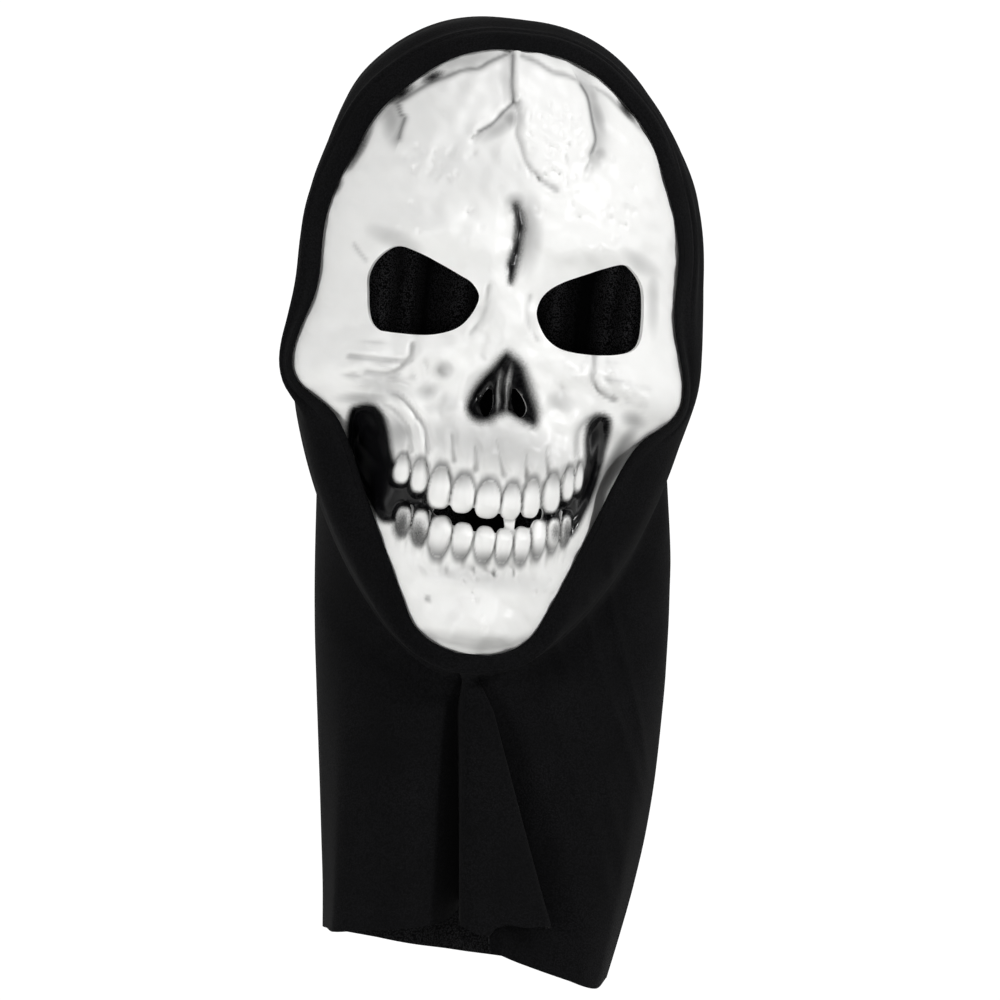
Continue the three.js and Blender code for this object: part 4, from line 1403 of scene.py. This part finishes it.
# %% [markdown]
# ## Polyester, knitted and matt black
#
# The cloth is a thin black polyester knit. Its surface is rows of tiny loops, which scatter light: no gloss,
# a faint grey sheen where it turns away, and a fine speckled grain. The real loops are about 0.5 mm apart,
# less than the picture can show, and are drawn 0.8 mm apart. Cells of a Voronoi pattern stand for them, and a
# slow noise wears them unevenly. The reverse of such a knit is paler and more speckled, and it shows through
# the eyes and under the cape's hem. The photograph has pale bands behind the eyes, so the reverse is painted
# paler along the crests of the folds there: painted light where the crests catch it. The photograph has pale
# bands behind the eyes, so the reverse is painted paler along the crests of the folds there, on the guess
# that the knit is stretched over them.

# %% The cloth material
LOOP_MM = 0.8
LOOP_DEPTH_MM = 0.3
WEAR_MM = 24

knit = bpy.data.materials.new("black_polyester_knit")
knit.use_nodes = True
tree = knit.node_tree
shader = tree.nodes["Principled BSDF"]
shader.inputs["Roughness"].default_value = 0.95
shader.inputs["Specular IOR Level"].default_value = 0.06
shader.inputs["Sheen Weight"].default_value = 0.012
shader.inputs["Sheen Roughness"].default_value = 0.5
where = add_node(tree, "ShaderNodeTexCoord", {}, {}).outputs["Object"]
stitches = add_node(tree, "ShaderNodeTexVoronoi", {}, {"Vector": where, "Scale": per_metre(LOOP_MM)})
domes = add_node(tree, "ShaderNodeMapRange", {}, {
    "Value": stitches.outputs["Distance"], "From Min": 0.1, "From Max": 0.7, "To Min": 1, "To Max": 0})
wear = add_node(tree, "ShaderNodeTexNoise", {}, {"Vector": where, "Scale": per_metre(WEAR_MM), "Detail": 6})
tone = add_node(tree, "ShaderNodeMath", {"operation": "MULTIPLY"}, {
    0: domes.outputs["Result"], 1: wear.outputs["Fac"]})
threads = add_node(tree, "ShaderNodeMix", {"data_type": "RGBA"}, {
    0: tone.outputs[0], 6: linear("#09090A"), 7: linear("#1C1C1E")})
speckled = add_node(tree, "ShaderNodeMix", {"data_type": "RGBA"}, {
    0: tone.outputs[0], 6: linear("#0C0C0D"), 7: linear("#8A8A8E")})
reverse_and_crest_light_at = add_node(tree, "ShaderNodeAttribute", {"attribute_name": "reverse_and_crest_light"}, {}).outputs["Fac"]
both_sides = add_node(tree, "ShaderNodeMix", {"data_type": "RGBA"}, {
    0: reverse_and_crest_light_at, 6: threads.outputs[2], 7: speckled.outputs[2]})
tree.links.new(both_sides.outputs[2], shader.inputs["Base Color"])
bump = add_node(tree, "ShaderNodeBump", {}, {
    "Height": domes.outputs["Result"], "Strength": 0.3, "Distance": LOOP_DEPTH_MM * MM})
tree.links.new(bump.outputs["Normal"], shader.inputs["Normal"])
print("cloth nodes:", len(tree.nodes))

# %% The cloth pieces
CAPE_PALENESS = 0.18
hem = add_piece("rolled_hem", hem_points, hem_quads, knit, "opening_hem")
hood = add_piece("hood_and_cape", hood_mesh_points, hood_mesh_quads, knit, "hood")
# Behind the head the reverse is paler along the fold crests, which is painted light; on the cape it is the
# reverse's own even paleness.
paleness_and_crest_light = np.where(draped[..., 2] > FOLDS_FROM_UP, np.sqrt(crest_light), CAPE_PALENESS)
reverse_and_crest_light = np.concatenate([np.zeros(paleness_and_crest_light.size), paleness_and_crest_light.ravel()]).astype(np.float32)
hood.data.attributes.new("reverse_and_crest_light", "FLOAT", "POINT").data.foreach_set("value", reverse_and_crest_light)
sides = np.roll(hood_outer, -1, 1)[:-1] - hood_outer[:-1]
cell_areas = np.linalg.norm(np.cross(sides, np.diff(hood_outer, axis=0)), axis=2)
print(f"cloth area {cell_areas.sum() * MM * MM:.3f} square metres")

# %% [markdown]
# ## What the cloth was cut from
#
# The hood was cut from flat knit before it was sewn, as two mirrored sides with a rounded back.

# %% [markdown]
